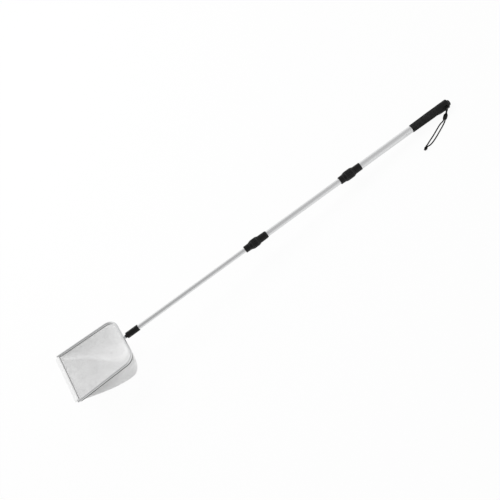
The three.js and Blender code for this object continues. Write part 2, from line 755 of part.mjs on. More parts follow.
/** The cap: slanted shell with a domed end, plug in the tube, and the keel with the cord's eye. */
function endCap() {
  const capStart = gripEnd - CAP_SLANT_END - CAP_SLANT;
  const coreEnd = gripEnd - CAP_SLANT_END;
  const eyeX = gripEnd - EYE_FROM_END;
  const eyeY = EYE_WALL + EYE_DIAMETER / 2 - KEEL_HEIGHT - gripRadius;
  const shell = revolve([[capStart, 0], [gripEnd, 0], ...domeOutline(), [capStart, gripRadius]]);
  const hollow = bar(capStart - OVERCUT, upperTubeEnd + GAP, upperTubeRadius + GAP);
  const core = bar(upperTubeEnd + GAP, coreEnd, upperTubeRadius);
  const plug = bar(upperTubeEnd - CAP_PLUG_LENGTH, coreEnd, upperTubeRadius - TUBE_WALL - GAP);
  const eye = new THREE.CylinderGeometry(EYE_DIAMETER / 2, EYE_DIAMETER / 2, GRIP_DIAMETER, ROUND_STEPS / 2)
    .rotateX(Math.PI / 2)
    .translate(eyeX, eyeY, 0);
  const cap = solidOf(shell)
    .add(solidOf(capKeel(eyeX)))
    .intersect(capSide(0))
    .subtract(solidOf(hollow))
    .add(solidOf(core))
    .add(solidOf(plug))
    .subtract(solidOf(eye));
  return mesh("end_cap", geometryOf(cap), BLACK_PLASTIC);
}

// ---------------------------------------------------------------- wrist cord

const cordRadius = CORD_DIAMETER / 2;

/** A round bar of one radius along a strand's route. */
function alongRoute(route, radius) {
  const curve = new THREE.CatmullRomCurve3(route.map((point) => new THREE.Vector3(...point)));
  return sweep(curve, radius, CORD_SIDES, CORD_STEPS);
}

function cordStrand(name, route) {
  return mesh(name, alongRoute(route, cordRadius), BLACK_CORD);
}

/** Turns a geometry that is built along +X to a level heading, moves it, and cuts the strands' channels in it. */
function threaded(geometry, place, heading) {
  const piece = geometry.rotateZ(Math.atan2(heading[1], heading[0])).translate(...place);
  const channels = [INNER_STRAND, OUTER_STRAND].map((route) => solidOf(alongRoute(route, cordRadius + GAP)));
  return geometryOf(channels.reduce((rest, channel) => rest.subtract(channel), solidOf(piece)));
}

/** The oval bead that slides on both strands. */
function cordBead() {
  const [across, up] = [BEAD_WIDTH / 2, BEAD_HEIGHT / 2];
  const outline = rounded([
    [-across, -up, BEAD_ROUNDING],
    [across, -up, BEAD_ROUNDING],
    [across, up, BEAD_ROUNDING],
    [-across, up, BEAD_ROUNDING],
  ]);
  const bead = new THREE.ExtrudeGeometry(shapeOf(outline), { depth: BEAD_LENGTH, bevelEnabled: false })
    .translate(0, 0, -BEAD_LENGTH / 2)
    .rotateX(Math.PI / 2)
    .rotateZ(Math.PI / 2);
  return mesh("cord_bead", threaded(bead, BEAD_PLACE, BEAD_HEADING), BLACK_PLASTIC);
}

/** The knot that ties the two strands' ends, as a plain round form. */
function cordKnot() {
  const [half, radius] = [KNOT_LENGTH / 2, KNOT_DIAMETER / 2];
  const outline = [
    [-half, 0],
    [half, 0],
    [half, radius, KNOT_FRONT_ROUNDING],
    [-half, radius, KNOT_BACK_ROUNDING],
  ];
  return mesh("cord_knot", threaded(revolve(outline, KNOT_FACETS), KNOT_PLACE, KNOT_HEADING), BLACK_CORD);
}

// ---------------------------------------------------------------- the tool in the pole's frame

const tool = new THREE.Group();
tool.add(
  hoopRod(),
  frontWire(),
  frontLip(),
  netBag(),
  headStud(),
  studWasher(),
  socketSleeve(),
  socketInsert(),
  poleTube("lower_tube", lowerTubeStart, lowerTubeEnd, lowerTubeRadius),
  guideBush("lower_bush", lowerTubeEnd, lowerTubeRadius, middleTubeRadius),
  lockNut(lowerLock),
  lockCollet(lowerLock),
  lockBody(lowerLock),
  poleTube("middle_tube", middleTubeStart, middleTubeEnd, middleTubeRadius),
  guideBush("middle_bush", middleTubeEnd, middleTubeRadius, upperTubeRadius),
  lockNut(upperLock),
  lockCollet(upperLock),
  lockBody(upperLock),
  poleTube("upper_tube", upperTubeStart, upperTubeEnd, upperTubeRadius),
  gripSleeve(),
  endCap(),
);

/** A mesh's box, with every turn of its groups. */
function boxOf(object) {
  return new THREE.Box3().setFromObject(object, true);
}

/** Tips the tool until the bag's bottom and the cap touch one level, and puts the origin below its middle. */
function layOnFloor() {
  const span = gripEnd + BAG_DEEPEST;
  for (let k = 0; k < SETTLING_STEPS; k++) {
    tool.updateMatrixWorld(true);
    const [bag, cap] = ["net_bag", "end_cap"].map((name) => boxOf(tool.getObjectByName(name)));
    tool.rotation.y += Math.atan((cap.min.z - bag.min.z) / span);
  }
  tool.updateMatrixWorld(true);
  const whole = boxOf(tool);
  const middle = whole.getCenter(new THREE.Vector3());
  tool.position.set(-middle.x, -middle.y, -whole.min.z);
  tool.updateMatrixWorld(true);
}

layOnFloor();

const part = new THREE.Group();
part.add(
  tool,
  cordStrand("wrist_cord_inner", INNER_STRAND),
  cordStrand("wrist_cord_outer", OUTER_STRAND),
  cordBead(),
  cordKnot(),
);

export default part;
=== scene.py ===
# %% [markdown]
# # A leaf skimmer net
# A mesh bag on a bent rod frame, carried by a pole of three tubes with twist locks, a soft grip and a wrist
# cord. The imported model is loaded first, because every piece made here is placed by it and moves with one
# of its bodies.

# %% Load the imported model
import json
import math

import bmesh
import bpy
import numpy as np
from mathutils import Matrix, Vector


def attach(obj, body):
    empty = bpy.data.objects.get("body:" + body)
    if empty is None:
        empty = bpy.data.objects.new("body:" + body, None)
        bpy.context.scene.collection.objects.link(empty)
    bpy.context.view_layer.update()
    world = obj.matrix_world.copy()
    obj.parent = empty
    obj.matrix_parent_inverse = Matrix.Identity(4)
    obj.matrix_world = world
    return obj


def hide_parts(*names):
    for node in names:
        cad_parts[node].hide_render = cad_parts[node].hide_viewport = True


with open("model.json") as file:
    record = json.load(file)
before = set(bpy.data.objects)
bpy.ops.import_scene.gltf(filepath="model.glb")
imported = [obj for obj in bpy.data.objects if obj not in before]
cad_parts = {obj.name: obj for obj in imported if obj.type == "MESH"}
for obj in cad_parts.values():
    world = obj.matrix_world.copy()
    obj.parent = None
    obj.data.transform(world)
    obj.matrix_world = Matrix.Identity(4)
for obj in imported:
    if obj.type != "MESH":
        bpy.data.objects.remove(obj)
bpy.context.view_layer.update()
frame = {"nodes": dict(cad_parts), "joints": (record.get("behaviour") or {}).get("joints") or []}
MM = 0.001

# %% [markdown]
# ## The camera
# The photograph looks down on the tool from the grip's right, and is rolled so that the pole runs from the
# lower left to the upper right. A view is three things: a place, a point looked at, and a direction that is
# up in the picture. They were solved from the frame's corners and the pole's ends, and the lens goes with a
# film 36 mm square. It comes first because the cords are judged by what it sees.

# %% Place the camera
CAMERA_PLACE = (0.0952, -1.3540, 1.8595)
CAMERA_AIM = (-0.0304, -0.0081, 0.0598)
CAMERA_UP = (0.6240, 0.6460, 0.4396)
CAMERA_LENS = 61.2
FILM = 36.0


def camera_at(place, aim, up):
    """A camera whose third axis runs from the aim to the camera and whose second is near the up given."""
    toward = (Vector(place) - Vector(aim)).normalized()
    right = Vector(up).cross(toward).normalized()
    turn = Matrix((right, toward.cross(right), toward)).transposed()
    data = bpy.data.cameras.new("camera")
    data.type = "PERSP"
    data.sensor_fit = "HORIZONTAL"
    data.sensor_width = FILM
    data.lens = CAMERA_LENS
    camera = bpy.data.objects.new("camera", data)
    camera.matrix_world = Matrix.Translation(Vector(place)) @ turn.to_4x4()
    bpy.context.scene.collection.objects.link(camera)
    return camera


bpy.context.scene.camera = camera_at(CAMERA_PLACE, CAMERA_AIM, CAMERA_UP)
print("camera distance:", round((Vector(CAMERA_PLACE) - Vector(CAMERA_AIM)).length, 3))

# %% [markdown]
# ## From arrays to meshes
# Almost every piece is a round thing: turned about the pole's axis, or swept along a path. So two helpers
# work out nearly all of them as a grid of points, and a third puts the grid into a mesh. Number fields ride
# on the points: the UV map, which is in metres so that a pattern keeps its scale on every piece, and
# `wear`, which is 1 along edges that hands and water rub bright.

# %% A mesh from a grid of points
SHARP_ANGLE = math.radians(38)
MERGE_DISTANCE = 1e-7


def add_object(name, mesh):
    """An object at the origin, unturned, for a mesh that already holds its place."""
    made = bpy.data.objects.new(name, mesh)
    bpy.context.scene.collection.objects.link(made)
    return made


def tidy_mesh(mesh):
    """Closes seams and poles by merging doubles, turns the faces outwards and smooths all but sharp
    edges."""
    work = bmesh.new()
    work.from_mesh(mesh)
    bmesh.ops.remove_doubles(work, verts=work.verts, dist=MERGE_DISTANCE)
    bmesh.ops.recalc_face_normals(work, faces=work.faces)
    work.to_mesh(mesh)
    work.free()
    mesh.shade_smooth()
    mesh.set_sharp_from_angle(angle=SHARP_ANGLE)


def grid_surface(name, points, uv, fields=None, wrap=(False, False)):
    """One four-sided face for each cell of a grid of points. A grid that wraps joins its last row, or
    column, to its first, and its UV grid has one more there, so that the map doesn't run backwards at the
    seam."""
    rows, columns = points.shape[:2]
    index = np.arange(rows * columns).reshape(rows, columns)
    index = np.pad(index, ((0, int(wrap[0])), (0, int(wrap[1]))), mode="wrap")
    corner = np.arange(index.size).reshape(index.shape)
    first, second = slice(None, -1), slice(1, None)
    cells = [grid[a, b].reshape(-1) for grid in (index, corner)
             for a, b in ((first, first), (second, first), (second, second), (first, second))]
    mesh = bpy.data.meshes.new(name)
    mesh.from_pydata(points.reshape(-1, 3), [], np.stack(cells[:4], axis=1).tolist())
    layer = mesh.uv_layers.new(name="UVMap")
    layer.data.foreach_set("uv", uv.reshape(-1, 2)[np.stack(cells[4:], axis=1).reshape(-1)].reshape(-1))
    for field, values in (fields or {}).items():
        made = mesh.attributes.new(field, "FLOAT", "POINT")
        spread_out = np.broadcast_to(values, (rows, columns)).astype(np.float32)
        made.data.foreach_set("value", spread_out.reshape(-1))
    tidy_mesh(mesh)
    print(f"{name}: {len(mesh.vertices)} points, {len(mesh.polygons)} faces")
    return add_object(name, mesh)


def uv_grid(along, around):
    """A UV grid from a place for each row and a place for each column."""
    return np.stack(np.broadcast_arrays(along[:, None], around[None, :]), axis=-1)


def distances(points, axis=0):
    """How far each point is from the first one, along a path or along a grid's rows or columns."""
    steps = np.linalg.norm(np.diff(points, axis=axis), axis=-1)
    start = np.zeros_like(steps.take([0], axis=axis))
    return np.concatenate([start, np.cumsum(steps, axis=axis)], axis=axis)


def at_places(line, at, along=None):
    """Points at places along a line through the points given."""
    along = distances(line) if along is None else along
    return np.stack([np.interp(at, along, column) for column in line.T], axis=1)


# %% [markdown]
# ## The pole's own frame
# The tool lies on the bag's bottom and on the grip's cap, so the pole leans a few degrees. Pieces are
# worked out in millimetres along, to the left of and above the pole, from the centre of the back rod, and
# one function carries them into the scene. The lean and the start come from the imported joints, not from a
# measurement.

# %% Where the pole lies
UNSCREW_PLACE = 7.5  # mm along the pole, from the back rod's centre to the head's joint
joints = {joint["name"]: joint for joint in frame["joints"]}
ALONG = np.array(joints["lower_tube_slide"]["axis"], float)
ALONG /= np.linalg.norm(ALONG)
LEFT = np.array([0.0, 1.0, 0.0])
ABOVE = np.cross(ALONG, LEFT)
BACK_ROD = np.array(joints["head_unscrew"]["pos_m"]) - ALONG * UNSCREW_PLACE * MM
LEAN = math.atan2(-ALONG[2], ALONG[0])


def in_scene(x, y, z):
    """Points in metres from distances in mm along the pole, to its left and above it."""
    x, y, z = np.broadcast_arrays(x, y, z)
    return BACK_ROD + (x[..., None] * ALONG + y[..., None] * LEFT + z[..., None] * ABOVE) * MM


def span_of(node):
    """Where a CAD node starts and ends along the pole, and its largest radius about it, in mm."""
    points = np.array([vertex.co for vertex in frame["nodes"][node].data.vertices]) - BACK_ROD
    along = points @ ALONG / MM
    return along.min(), along.max(), (np.hypot(points @ LEFT, points @ ABOVE) / MM).max()


for node in ("socket_sleeve", "lower_tube", "middle_tube", "upper_tube", "grip_sleeve", "end_cap"):
    print(node, "from %.2f to %.2f, radius %.2f mm" % span_of(node))

# %% Outlines and turned pieces
CORNER_STEPS = 6
AROUND = 96


def rounded_outline(corners, closed=True, steps=CORNER_STEPS):
    """An outline as rows of place, radius and wear. A corner is (place, radius, rounding): its two sides
    are cut back by rounding over the tangent of half the corner's angle, and an arc of that radius joins
    the cuts."""
    points = []
    for i, (x, r, *rest) in enumerate(corners):
        size = rest[0] if rest else 0
        if not size:
            points.append((x, r, 0.0))
            continue
        here = np.array([x, r])
        before = np.array(corners[i - 1][:2]) - here
        after = np.array(corners[(i + 1) % len(corners)][:2]) - here
        before, after = before / np.linalg.norm(before), after / np.linalg.norm(after)
        half = math.acos(np.clip(before @ after, -1, 1)) / 2
        centre = here + (before + after) / np.linalg.norm(before + after) * size / math.sin(half)
        start, end = here + before * size / math.tan(half), here + after * size / math.tan(half)
        turn = np.linspace(0, 1, steps + 1)
        spread = math.pi - 2 * half
        arc = (np.sin((1 - turn) * spread)[:, None] * (start - centre)
               + np.sin(turn * spread)[:, None] * (end - centre)) / math.sin(spread)
        points += [(*(centre + step), w) for step, w in zip(arc, np.sin(math.pi * turn))]
    if closed:
        points.append(points[0])
    return np.array(points)


def finer(outline, step):
    """The outline with points added so that none are further apart than a step, its own points kept."""
    along = distances(outline[:, :2])
    at = np.unique(np.round(np.concatenate([along, np.arange(0, along[-1], step)]), 6))
    return at_places(outline, at, along)


def turned(name, outline, around=AROUND, relief=None, place=None):
    """An outline of place and radius carried round the pole: a point at angle t is radius times cos t to
    the left and radius times sin t above. relief changes the radius and the wear by angle, and place moves
    a point along the pole by how far it is to the left."""
    angle = np.linspace(0, 2 * math.pi, around, endpoint=False)[None, :]
    x, r, wear = (outline[:, k, None] + 0 * angle for k in range(3))
    if place:
        x = place(outline, x, r * np.cos(angle))
    if relief:
        r, wear = relief(x, r, wear, angle)
    points = in_scene(x, r * np.cos(angle), r * np.sin(angle))
    girth = np.linspace(0, 2 * math.pi, around + 1) * outline[:, 1].max() * MM
    uv = uv_grid(distances(outline[:, :2]) * MM, girth)
    return grid_surface(name, points, uv, {"wear": wear}, wrap=(False, True))


def turned_from(name, corners, step, *more):
    """A piece turned from the closed outline that rounded corners give."""
    return turned(name, finer(rounded_outline(corners), step), *more)


# %% Swept pieces
def even_path(points, step):
    """A path of points a step apart along the line through the points given."""
    along = distances(points)
    return at_places(points, np.linspace(0, along[-1], int(math.ceil(along[-1] / step)) + 1), along)


def path_sides(path, across):
    """Two directions square to a path at each point: the one nearest to a given direction, and the one that
    is square to both, as their cross product."""
    ahead = np.gradient(path, axis=0)
    ahead /= np.linalg.norm(ahead, axis=1, keepdims=True)
    side = across - (ahead @ across)[:, None] * ahead
    side /= np.linalg.norm(side, axis=1, keepdims=True)
    return side, np.cross(ahead, side)


def swept(name, path, radius, rounding, across, around=24, relief=None):
    """A round bar along a path in metres. Near an end, at a distance d less than the rounding g, the ring's
    radius is smaller by g less the root of g squared less (g - d) squared. relief is a share of the radius
    by distance along and angle."""
    along = distances(path)
    total = along[-1]
    arc = rounding * (1 - np.cos(np.linspace(0, math.pi / 2, CORNER_STEPS + 1)))
    body = along[(along > rounding) & (along < total - rounding)]
    at = np.concatenate([[0], arc, body, total - arc[::-1], [total]])
    depth = np.clip(rounding - np.minimum(at, total - at), 0, rounding)
    ring = radius - rounding + np.sqrt(rounding**2 - depth**2)
    ring[[0, -1]] = 0
    lines = (path, *path_sides(path, across))
    centre, side, other = (at_places(line, at, along)[:, None, :] for line in lines)
    angle = np.linspace(0, 2 * math.pi, around, endpoint=False)
    ring = ring[:, None] * (1 + (relief(at[:, None], angle[None, :]) if relief else 0 * angle[None, :]))
    points = centre + ring[..., None] * (side * np.cos(angle)[:, None] + other * np.sin(angle)[:, None])
    uv = uv_grid(at, np.linspace(0, 2 * math.pi, around + 1) * radius)
    return grid_surface(name, points, uv, {"wear": 0.0}, wrap=(False, True))


# %% [markdown]
# ## Finishes as sums
# A finish is a small sum over the surface: noise times a size, a mask between two colours. One class wraps
# a value so that such sums can be written as Python, and each operator adds the Math node that does it.
# Everything else is made by one method that takes a node's type, its settings and what goes into its
# sockets.


# %% A value that can be reckoned with, and the nodes of one finish
class Value:
    """A number that varies over the surface."""

    def __init__(self, nodes, socket):
        self.nodes = nodes
        self.socket = socket

    def reckon(self, operation, *terms):
        """What an operation makes of this value and the terms after it."""
        made = self.nodes.add("ShaderNodeMath", {"operation": operation}, dict(enumerate((self, *terms))))
        return Value(self.nodes, made.outputs[0])

    def __add__(self, other):
        return self.reckon("ADD", other)

    def __sub__(self, other):
        return self.reckon("SUBTRACT", other)

    def __rsub__(self, other):
        return self.reckon("MULTIPLY_ADD", -1.0, other)

    def __mul__(self, other):
        return self.reckon("MULTIPLY", other)

    __radd__ = __add__
    __rmul__ = __mul__

    def clipped(self):
        return self.reckon("MAXIMUM", 0.0).reckon("MINIMUM", 1.0)

    def above(self, edge, blur):
        """0 below an edge and 1 above it, with a ramp as wide as the blur between them."""
        return ((self - edge) * (1 / blur) + 0.5).clipped()


def colour(tone):
    """A colour from a grey level, from three numbers, or from a value that is one already."""
    if isinstance(tone, Value):
        return tone
    return (*tone, 1.0) if isinstance(tone, tuple) else (tone, tone, tone, 1.0)


class Nodes:
    """The nodes of one finish, or of the world."""

    def __init__(self, tree):
        self.tree = tree
        tree.nodes.clear()

    def add(self, kind, settings=None, values=None):
        made = self.tree.nodes.new(kind)
        for name, setting in (settings or {}).items():
            setattr(made, name, setting)
        for name, value in (values or {}).items():
            if isinstance(value, Value):
                self.tree.links.new(value.socket, made.inputs[name])
            else:
                made.inputs[name].default_value = value
        return made

    def value(self, node, output=0):
        return Value(self, node.outputs[output])

    def places(self, kind="Object", scale=(1, 1, 1), turn=(0, 0, 0)):
        """Places on the piece in metres, after a turn, times a scale for each axis."""
        place = self.add("ShaderNodeUVMap" if kind == "UV" else "ShaderNodeTexCoord")
        laid = self.add("ShaderNodeMapping", {"vector_type": "POINT"},
                        {"Vector": self.value(place, kind), "Rotation": turn})
        return self.value(self.add("ShaderNodeVectorMath", {"operation": "MULTIPLY"},
                                   {0: self.value(laid), 1: scale}))

    def noise(self, scale, detail=2.0, kind="Object", turn=(0, 0, 0), roughness=0.5):
        """Soft random values from 0 to 1, finer along an axis with a larger scale."""
        place = self.places(kind, scale if isinstance(scale, tuple) else (scale,) * 3, turn)
        return self.value(self.add("ShaderNodeTexNoise", {}, {
            "Vector": place, "Scale": 1.0, "Detail": detail, "Roughness": roughness}))

    def parts(self, vector):
        """The three numbers of a vector."""
        made = self.add("ShaderNodeSeparateXYZ", {}, {0: vector})
        return [self.value(made, k) for k in range(3)]

    def field(self, name):
        """One of the number fields that ride on the mesh's points."""
        return self.value(self.add("ShaderNodeAttribute", {"attribute_name": name}), "Fac")

    def mixed(self, share, low, high):
        """A colour between two colours: the first at 0 and the second at 1."""
        made = self.add("ShaderNodeMix", {"data_type": "RGBA"}, {0: share, 6: colour(low), 7: colour(high)})
        return self.value(made, 2)

    def bumped(self, height, distance):
        return self.value(self.add("ShaderNodeBump", {}, {
            "Height": height, "Distance": distance, "Strength": 1.0}))


def finish(name, surface):
    """A material whose one shader has the socket values that surface(nodes) gives."""
    material = bpy.data.materials.new(name)
    material.use_nodes = True
    nodes = Nodes(material.node_tree)
    shader = nodes.add("ShaderNodeBsdfPrincipled", {}, surface(nodes))
    nodes.add("ShaderNodeOutputMaterial", {}, {"Surface": nodes.value(shader)})
    print(f"{name}: {len(nodes.tree.nodes)} nodes")
    return material


def coat(piece, material):
    piece.data.materials.clear()
    piece.data.materials.append(material)


def dress(piece, body, slot, material, *nodes):
    """Gives a new piece its finish and the body that it moves with, and hides the CAD nodes that it stands
    for. The slot is not used."""
    coat(piece, material)
    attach(piece, body)
    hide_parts(*nodes)


# %% [markdown]
# ## Braided cord
# A wrist cord is a braid of a few dozen fine black yarns. Modelling each yarn would cost hundreds of
# thousands of faces, so the tube gets the braid's low relief in its mesh and the yarns themselves in its
# finish. Both follow the distance along the cord and the angle round it, so that the pattern bends with the
# cord.

# %% Braided cord finish
BRAID_PITCH = 3.4  # mm along the cord for half a turn of a yarn bundle
BRAID_BUNDLES = 4  # in each of the two directions
CORD_DIAMETER = 3.4
YARN_SCALE = (900, 3500, 1)


def braid_surface(nodes):
    """Two families of slanted bundles cross: each is a cosine of the angle round the cord plus or minus the
    place along it. The higher one shows, and fine yarns run along it."""
    along, girth, _ = nodes.parts(nodes.places("UV"))
    around = girth * (2 * BRAID_BUNDLES / (CORD_DIAMETER * MM))
    turn = along * (math.pi * BRAID_BUNDLES / (BRAID_PITCH * MM))
    bundle = (around + turn).reckon("COSINE").reckon("MAXIMUM", (around - turn).reckon("COSINE"))
    yarn = nodes.noise(YARN_SCALE, 1.0, "UV")
    # Painted highlight and shade: the bundles' crests are made lighter and the gaps between them darker; the
    # yarn and slow noise are the cord's own random tone
    shade = (bundle * 0.35 + yarn * 0.45 + nodes.noise(90) * 0.2).clipped()
    return {
        "Base Color": nodes.mixed(shade, 0.001, 0.010),
        "Specular IOR Level": 0.12,
        "Roughness": 0.62 + 0.25 * yarn,
        "Normal": nodes.bumped(bundle * 0.7 + yarn * 0.5, 0.00018),
    }


black_braid = finish("black_braid", braid_surface)

# %% [markdown]
# ## The wrist cord
# The photograph shows the whole loop: two stretches of cord leave the cap's eye, pass through a dark slider
# and end in a knot. It lies limp on the ground beside the pole, so both routes come down out of the eye and
# then lie on the floor. A curve object with a round bevel would be quick, but a mesh swept along the same
# route can carry the braid's relief. The route is a smooth curve through the points: on each span the curve
# blends the lines through its neighbours, timed by the root of their distances, so that it never
# overshoots.

# %% The two strands
INNER_ROUTE = np.array([
    (611.95, -11.55, 12.0), (611.95, -11.55, 9.3), (611.6, -11.8, 7.0), (610.4, -12.4, 5.1),
    (608.7, -13.3, 3.8), (606.7, -14.4, 3.3), (601.1, -17.4, 3.3), (595.8, -20.5, 3.3),
    (584, -29.8, 3.3), (579.6, -31.4, 2.2), (574.8, -31.8, 1.6), (568.1, -33.4, 1.6),
    (556, -38.4, 1.6), (544.2, -43.9, 1.6), (532.1, -49.1, 1.6), (519.6, -53.7, 1.6),
    (512.7, -56.6, 1.6), (507.7, -59.0, 2.2), (504.3, -60.8, 3.4), (501.8, -62.0, 4.2),
    (499.4, -63.1, 4.3),
]) * MM
OUTER_ROUTE = np.array([
    (611.95, -11.55, 12.3), (611.95, -11.55, 14.2), (610.9, -12.5, 17.9), (608.2, -14.9, 19.8),
    (605.3, -17.5, 18.7), (603.7, -19.0, 15.4), (603.1, -19.5, 11.5), (602.5, -20.1, 7.7),
    (601.7, -20.8, 5.5), (600.3, -22.1, 3.9), (598.4, -23.8, 3.3), (586.6, -33.1, 3.3),
    (582.8, -35.5, 2.2), (579.1, -37.6, 1.6), (574.5, -40.2, 1.6), (562.8, -46.0, 1.6),
    (550.9, -51.5, 1.6), (539.1, -56.9, 1.6), (526.8, -61.7, 1.6), (519.6, -63.9, 1.6),
    (512.4, -65.3, 1.8), (507, -65.3, 3.0), (503.5, -65.6, 4.0), (501.2, -66.7, 4.3),
]) * MM
CORD_STEP = 0.3 * MM
CORD_ROUNDING = 0.3 * MM
CORD_LIFT = 0.15 * MM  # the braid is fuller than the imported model's plain cord
BRAID_RELIEF = 0.05  # share of the cord's radius
BRAID_MEAN = 0.4  # the relief's own middle, so that the cord keeps its size
BEND_SPAN = 4  # points on each side of the one whose bend is measured


def through(points, per_span=24):
    """A smooth curve through points: in each span, three straight blends, then two, then one, each weighted
    by time, where the time between two points is the root of their distance."""
    p = np.array([2 * points[0] - points[1], *points, 2 * points[-1] - points[-2]])
    time = np.concatenate([[0], np.cumsum(np.sqrt(np.linalg.norm(np.diff(p, axis=0), axis=1)))])
    spans = len(points) - 1
    t = [time[k : k + spans, None, None] for k in range(4)]
    q = [p[k : k + spans, None, :] for k in range(4)]
    now = t[1] + (t[2] - t[1]) * (np.arange(per_span) / per_span)[None, :, None]

    def blend(a, b, start, end):
        return ((end - now) * a + (now - start) * b) / (end - start)

    first = [blend(q[k], q[k + 1], t[k], t[k + 1]) for k in range(3)]
    second = [blend(first[k], first[k + 1], t[k], t[k + 2]) for k in range(2)]
    curve = blend(second[0], second[1], t[1], t[2]).reshape(-1, 3)
    return np.vstack([curve, points[-1:]])


def braid_relief(along, angle):
    """The same crossing bundles as in the finish, as a share of the radius."""
    turn = along * math.pi * BRAID_BUNDLES / (BRAID_PITCH * MM)
    bundles = [np.cos(BRAID_BUNDLES * angle + sign * turn) for sign in (1, -1)]
    return BRAID_RELIEF * (np.maximum(*bundles) - BRAID_MEAN)


def length_of(path):
    return float(distances(path)[-1])


def tightest_bend(path):
    """The smallest radius of the circles through points a little way apart on the path: the product of the
    triangle's sides over four times its area."""
    a, b, c = path[: -2 * BEND_SPAN], path[BEND_SPAN:-BEND_SPAN], path[2 * BEND_SPAN :]
    twice_area = np.linalg.norm(np.cross(b - a, c - a), axis=1) + 1e-12
    sides = [np.linalg.norm(v, axis=1) for v in (b - a, c - b, c - a)]
    return float((sides[0] * sides[1] * sides[2] / (2 * twice_area)).min())


heading = OUTER_ROUTE[-1] - OUTER_ROUTE[0]
beside_cord = np.array([-heading[1], heading[0], 0.0]) / np.hypot(heading[0], heading[1])
strands = {}
for name, route in (("wrist_cord_inner", INNER_ROUTE), ("wrist_cord_outer", OUTER_ROUTE)):
    path = even_path(through(route + (0, 0, CORD_LIFT)), CORD_STEP)
    radius = CORD_DIAMETER / 2 * MM
    strand = swept("braid_" + name[11:], path, radius, CORD_ROUNDING, beside_cord, 24, braid_relief)
    dress(strand, "upper_section", "black_cord", black_braid, name)
    strands[name] = (strand, path)
    print(name, "%.1f mm long, tightest bend %.1f mm" % (length_of(path) / MM, tightest_bend(path) / MM))


# %% [markdown]
# ## The slider and the knot
# The slider is an oval plastic bead on both strands. It starts as a superellipsoid, a ball whose sines and
# cosines are raised to a power so that its sides are flatter, and the strands' channels are cut out of it.
# The knot is a trefoil, the curve that an overhand knot makes when its loops are drawn tight, with the two
# melted cord ends beside it.

# %% Cut one piece with another
def cut(piece, cutter):
    """Takes the cutter's space out of a piece with an exact Boolean, and keeps the result as its mesh."""
    step = piece.modifiers.new("cut", "BOOLEAN")
    step.operation = "DIFFERENCE"
    step.solver = "EXACT"
    step.object = cutter
    graph = bpy.context.evaluated_depsgraph_get()
    result = bpy.data.meshes.new_from_object(piece.evaluated_get(graph))
    piece.modifiers.clear()
    before, piece.data = piece.data, result
    bpy.data.meshes.remove(before)
    bpy.data.meshes.remove(cutter.data)
    piece.data.name = piece.name
    piece.data.set_sharp_from_angle(angle=SHARP_ANGLE)


# %% Oval slider
BEAD_PLACE = np.array((592.8, -25.5, 3.4)) * MM
BEAD_HEADING = math.atan2(-0.622, -0.783)
BEAD_HALF = np.array((9.4, 5.6, 3.2)) * MM
BEAD_POWER = 0.6  # 1 is an ellipsoid, and smaller is boxier
BEAD_ROWS, BEAD_COLUMNS = 64, 96
CHANNEL_ROOM = 0.3  # mm between a strand and the slider


def signed_power(value, power):
    return np.sign(value) * np.abs(value) ** power


def oval_points(half, power):
    """A superellipsoid: each cosine and sine of its two angles is raised to the power, and its sign
    kept."""
    up = np.linspace(-math.pi / 2, math.pi / 2, BEAD_ROWS)[:, None]
    round_it = np.linspace(0, 2 * math.pi, BEAD_COLUMNS, endpoint=False)[None, :]
    ring = signed_power(np.cos(up), power)
    return np.stack([
        np.broadcast_to(half[0] * signed_power(np.sin(up), power), (BEAD_ROWS, BEAD_COLUMNS)),
        half[1] * ring * signed_power(np.cos(round_it), power),
        half[2] * ring * signed_power(np.sin(round_it), power),
    ], axis=-1)


def headed(points, angle, place):
    """Points turned level by an angle and moved to a place."""
    c, s = math.cos(angle), math.sin(angle)
    return points @ np.array(((c, s, 0), (-s, c, 0), (0, 0, 1))) + place


oval = headed(oval_points(BEAD_HALF, BEAD_POWER), BEAD_HEADING, BEAD_PLACE)
oval_uv = uv_grid(np.linspace(0, 0.02, BEAD_ROWS), np.linspace(0, 0.03, BEAD_COLUMNS + 1))
slider = grid_surface("oval_slider", oval, oval_uv, {"wear": 0.0}, wrap=(False, True))
for strand, path in strands.values():
    near = np.linalg.norm(path - BEAD_PLACE, axis=1) < 2 * BEAD_HALF[0]
    bore = (CORD_DIAMETER / 2 + CHANNEL_ROOM) * MM
    cut(slider, swept("channel", path[near], bore, CORD_ROUNDING, beside_cord))
print("slider faces:", len(slider.data.polygons))

# %% Tied knot and the melted ends
KNOT_PLACE = np.array((496.8, -66.6, 4.3)) * MM
KNOT_HEADING = math.atan2(-0.436, -0.9)
KNOT_REACH = np.array((4.4, 2.5, 2.2)) * MM  # of the cord's middle line, from the knot's centre
KNOT_CORD = 1.75 * MM  # two strands pressed together
KNOT_ACROSS = np.array([0.12, 0.2, 1.0])
TAIL_POINTS = ((0, 1.0, 0.4), (3.72, 1.5, 0.2), (6.2, 1.9, -0.9))  # mm from the knot's centre
TAIL_RADIUS = 1.35 * MM
TAIL_ROUNDING = 0.9 * MM


def trefoil(points=400):
    """Going round twice at angle t while weaving three times: the ring's radius is 2 plus the cosine of 1.5
    t over two turns, and its height is the sine of 1.5 t."""
    t = np.linspace(0, 4 * math.pi, points)
    ring = 2 + np.cos(1.5 * t)
    return np.stack([ring * np.cos(t) / 3, ring * np.sin(t) / 3, np.sin(1.5 * t)], axis=1)


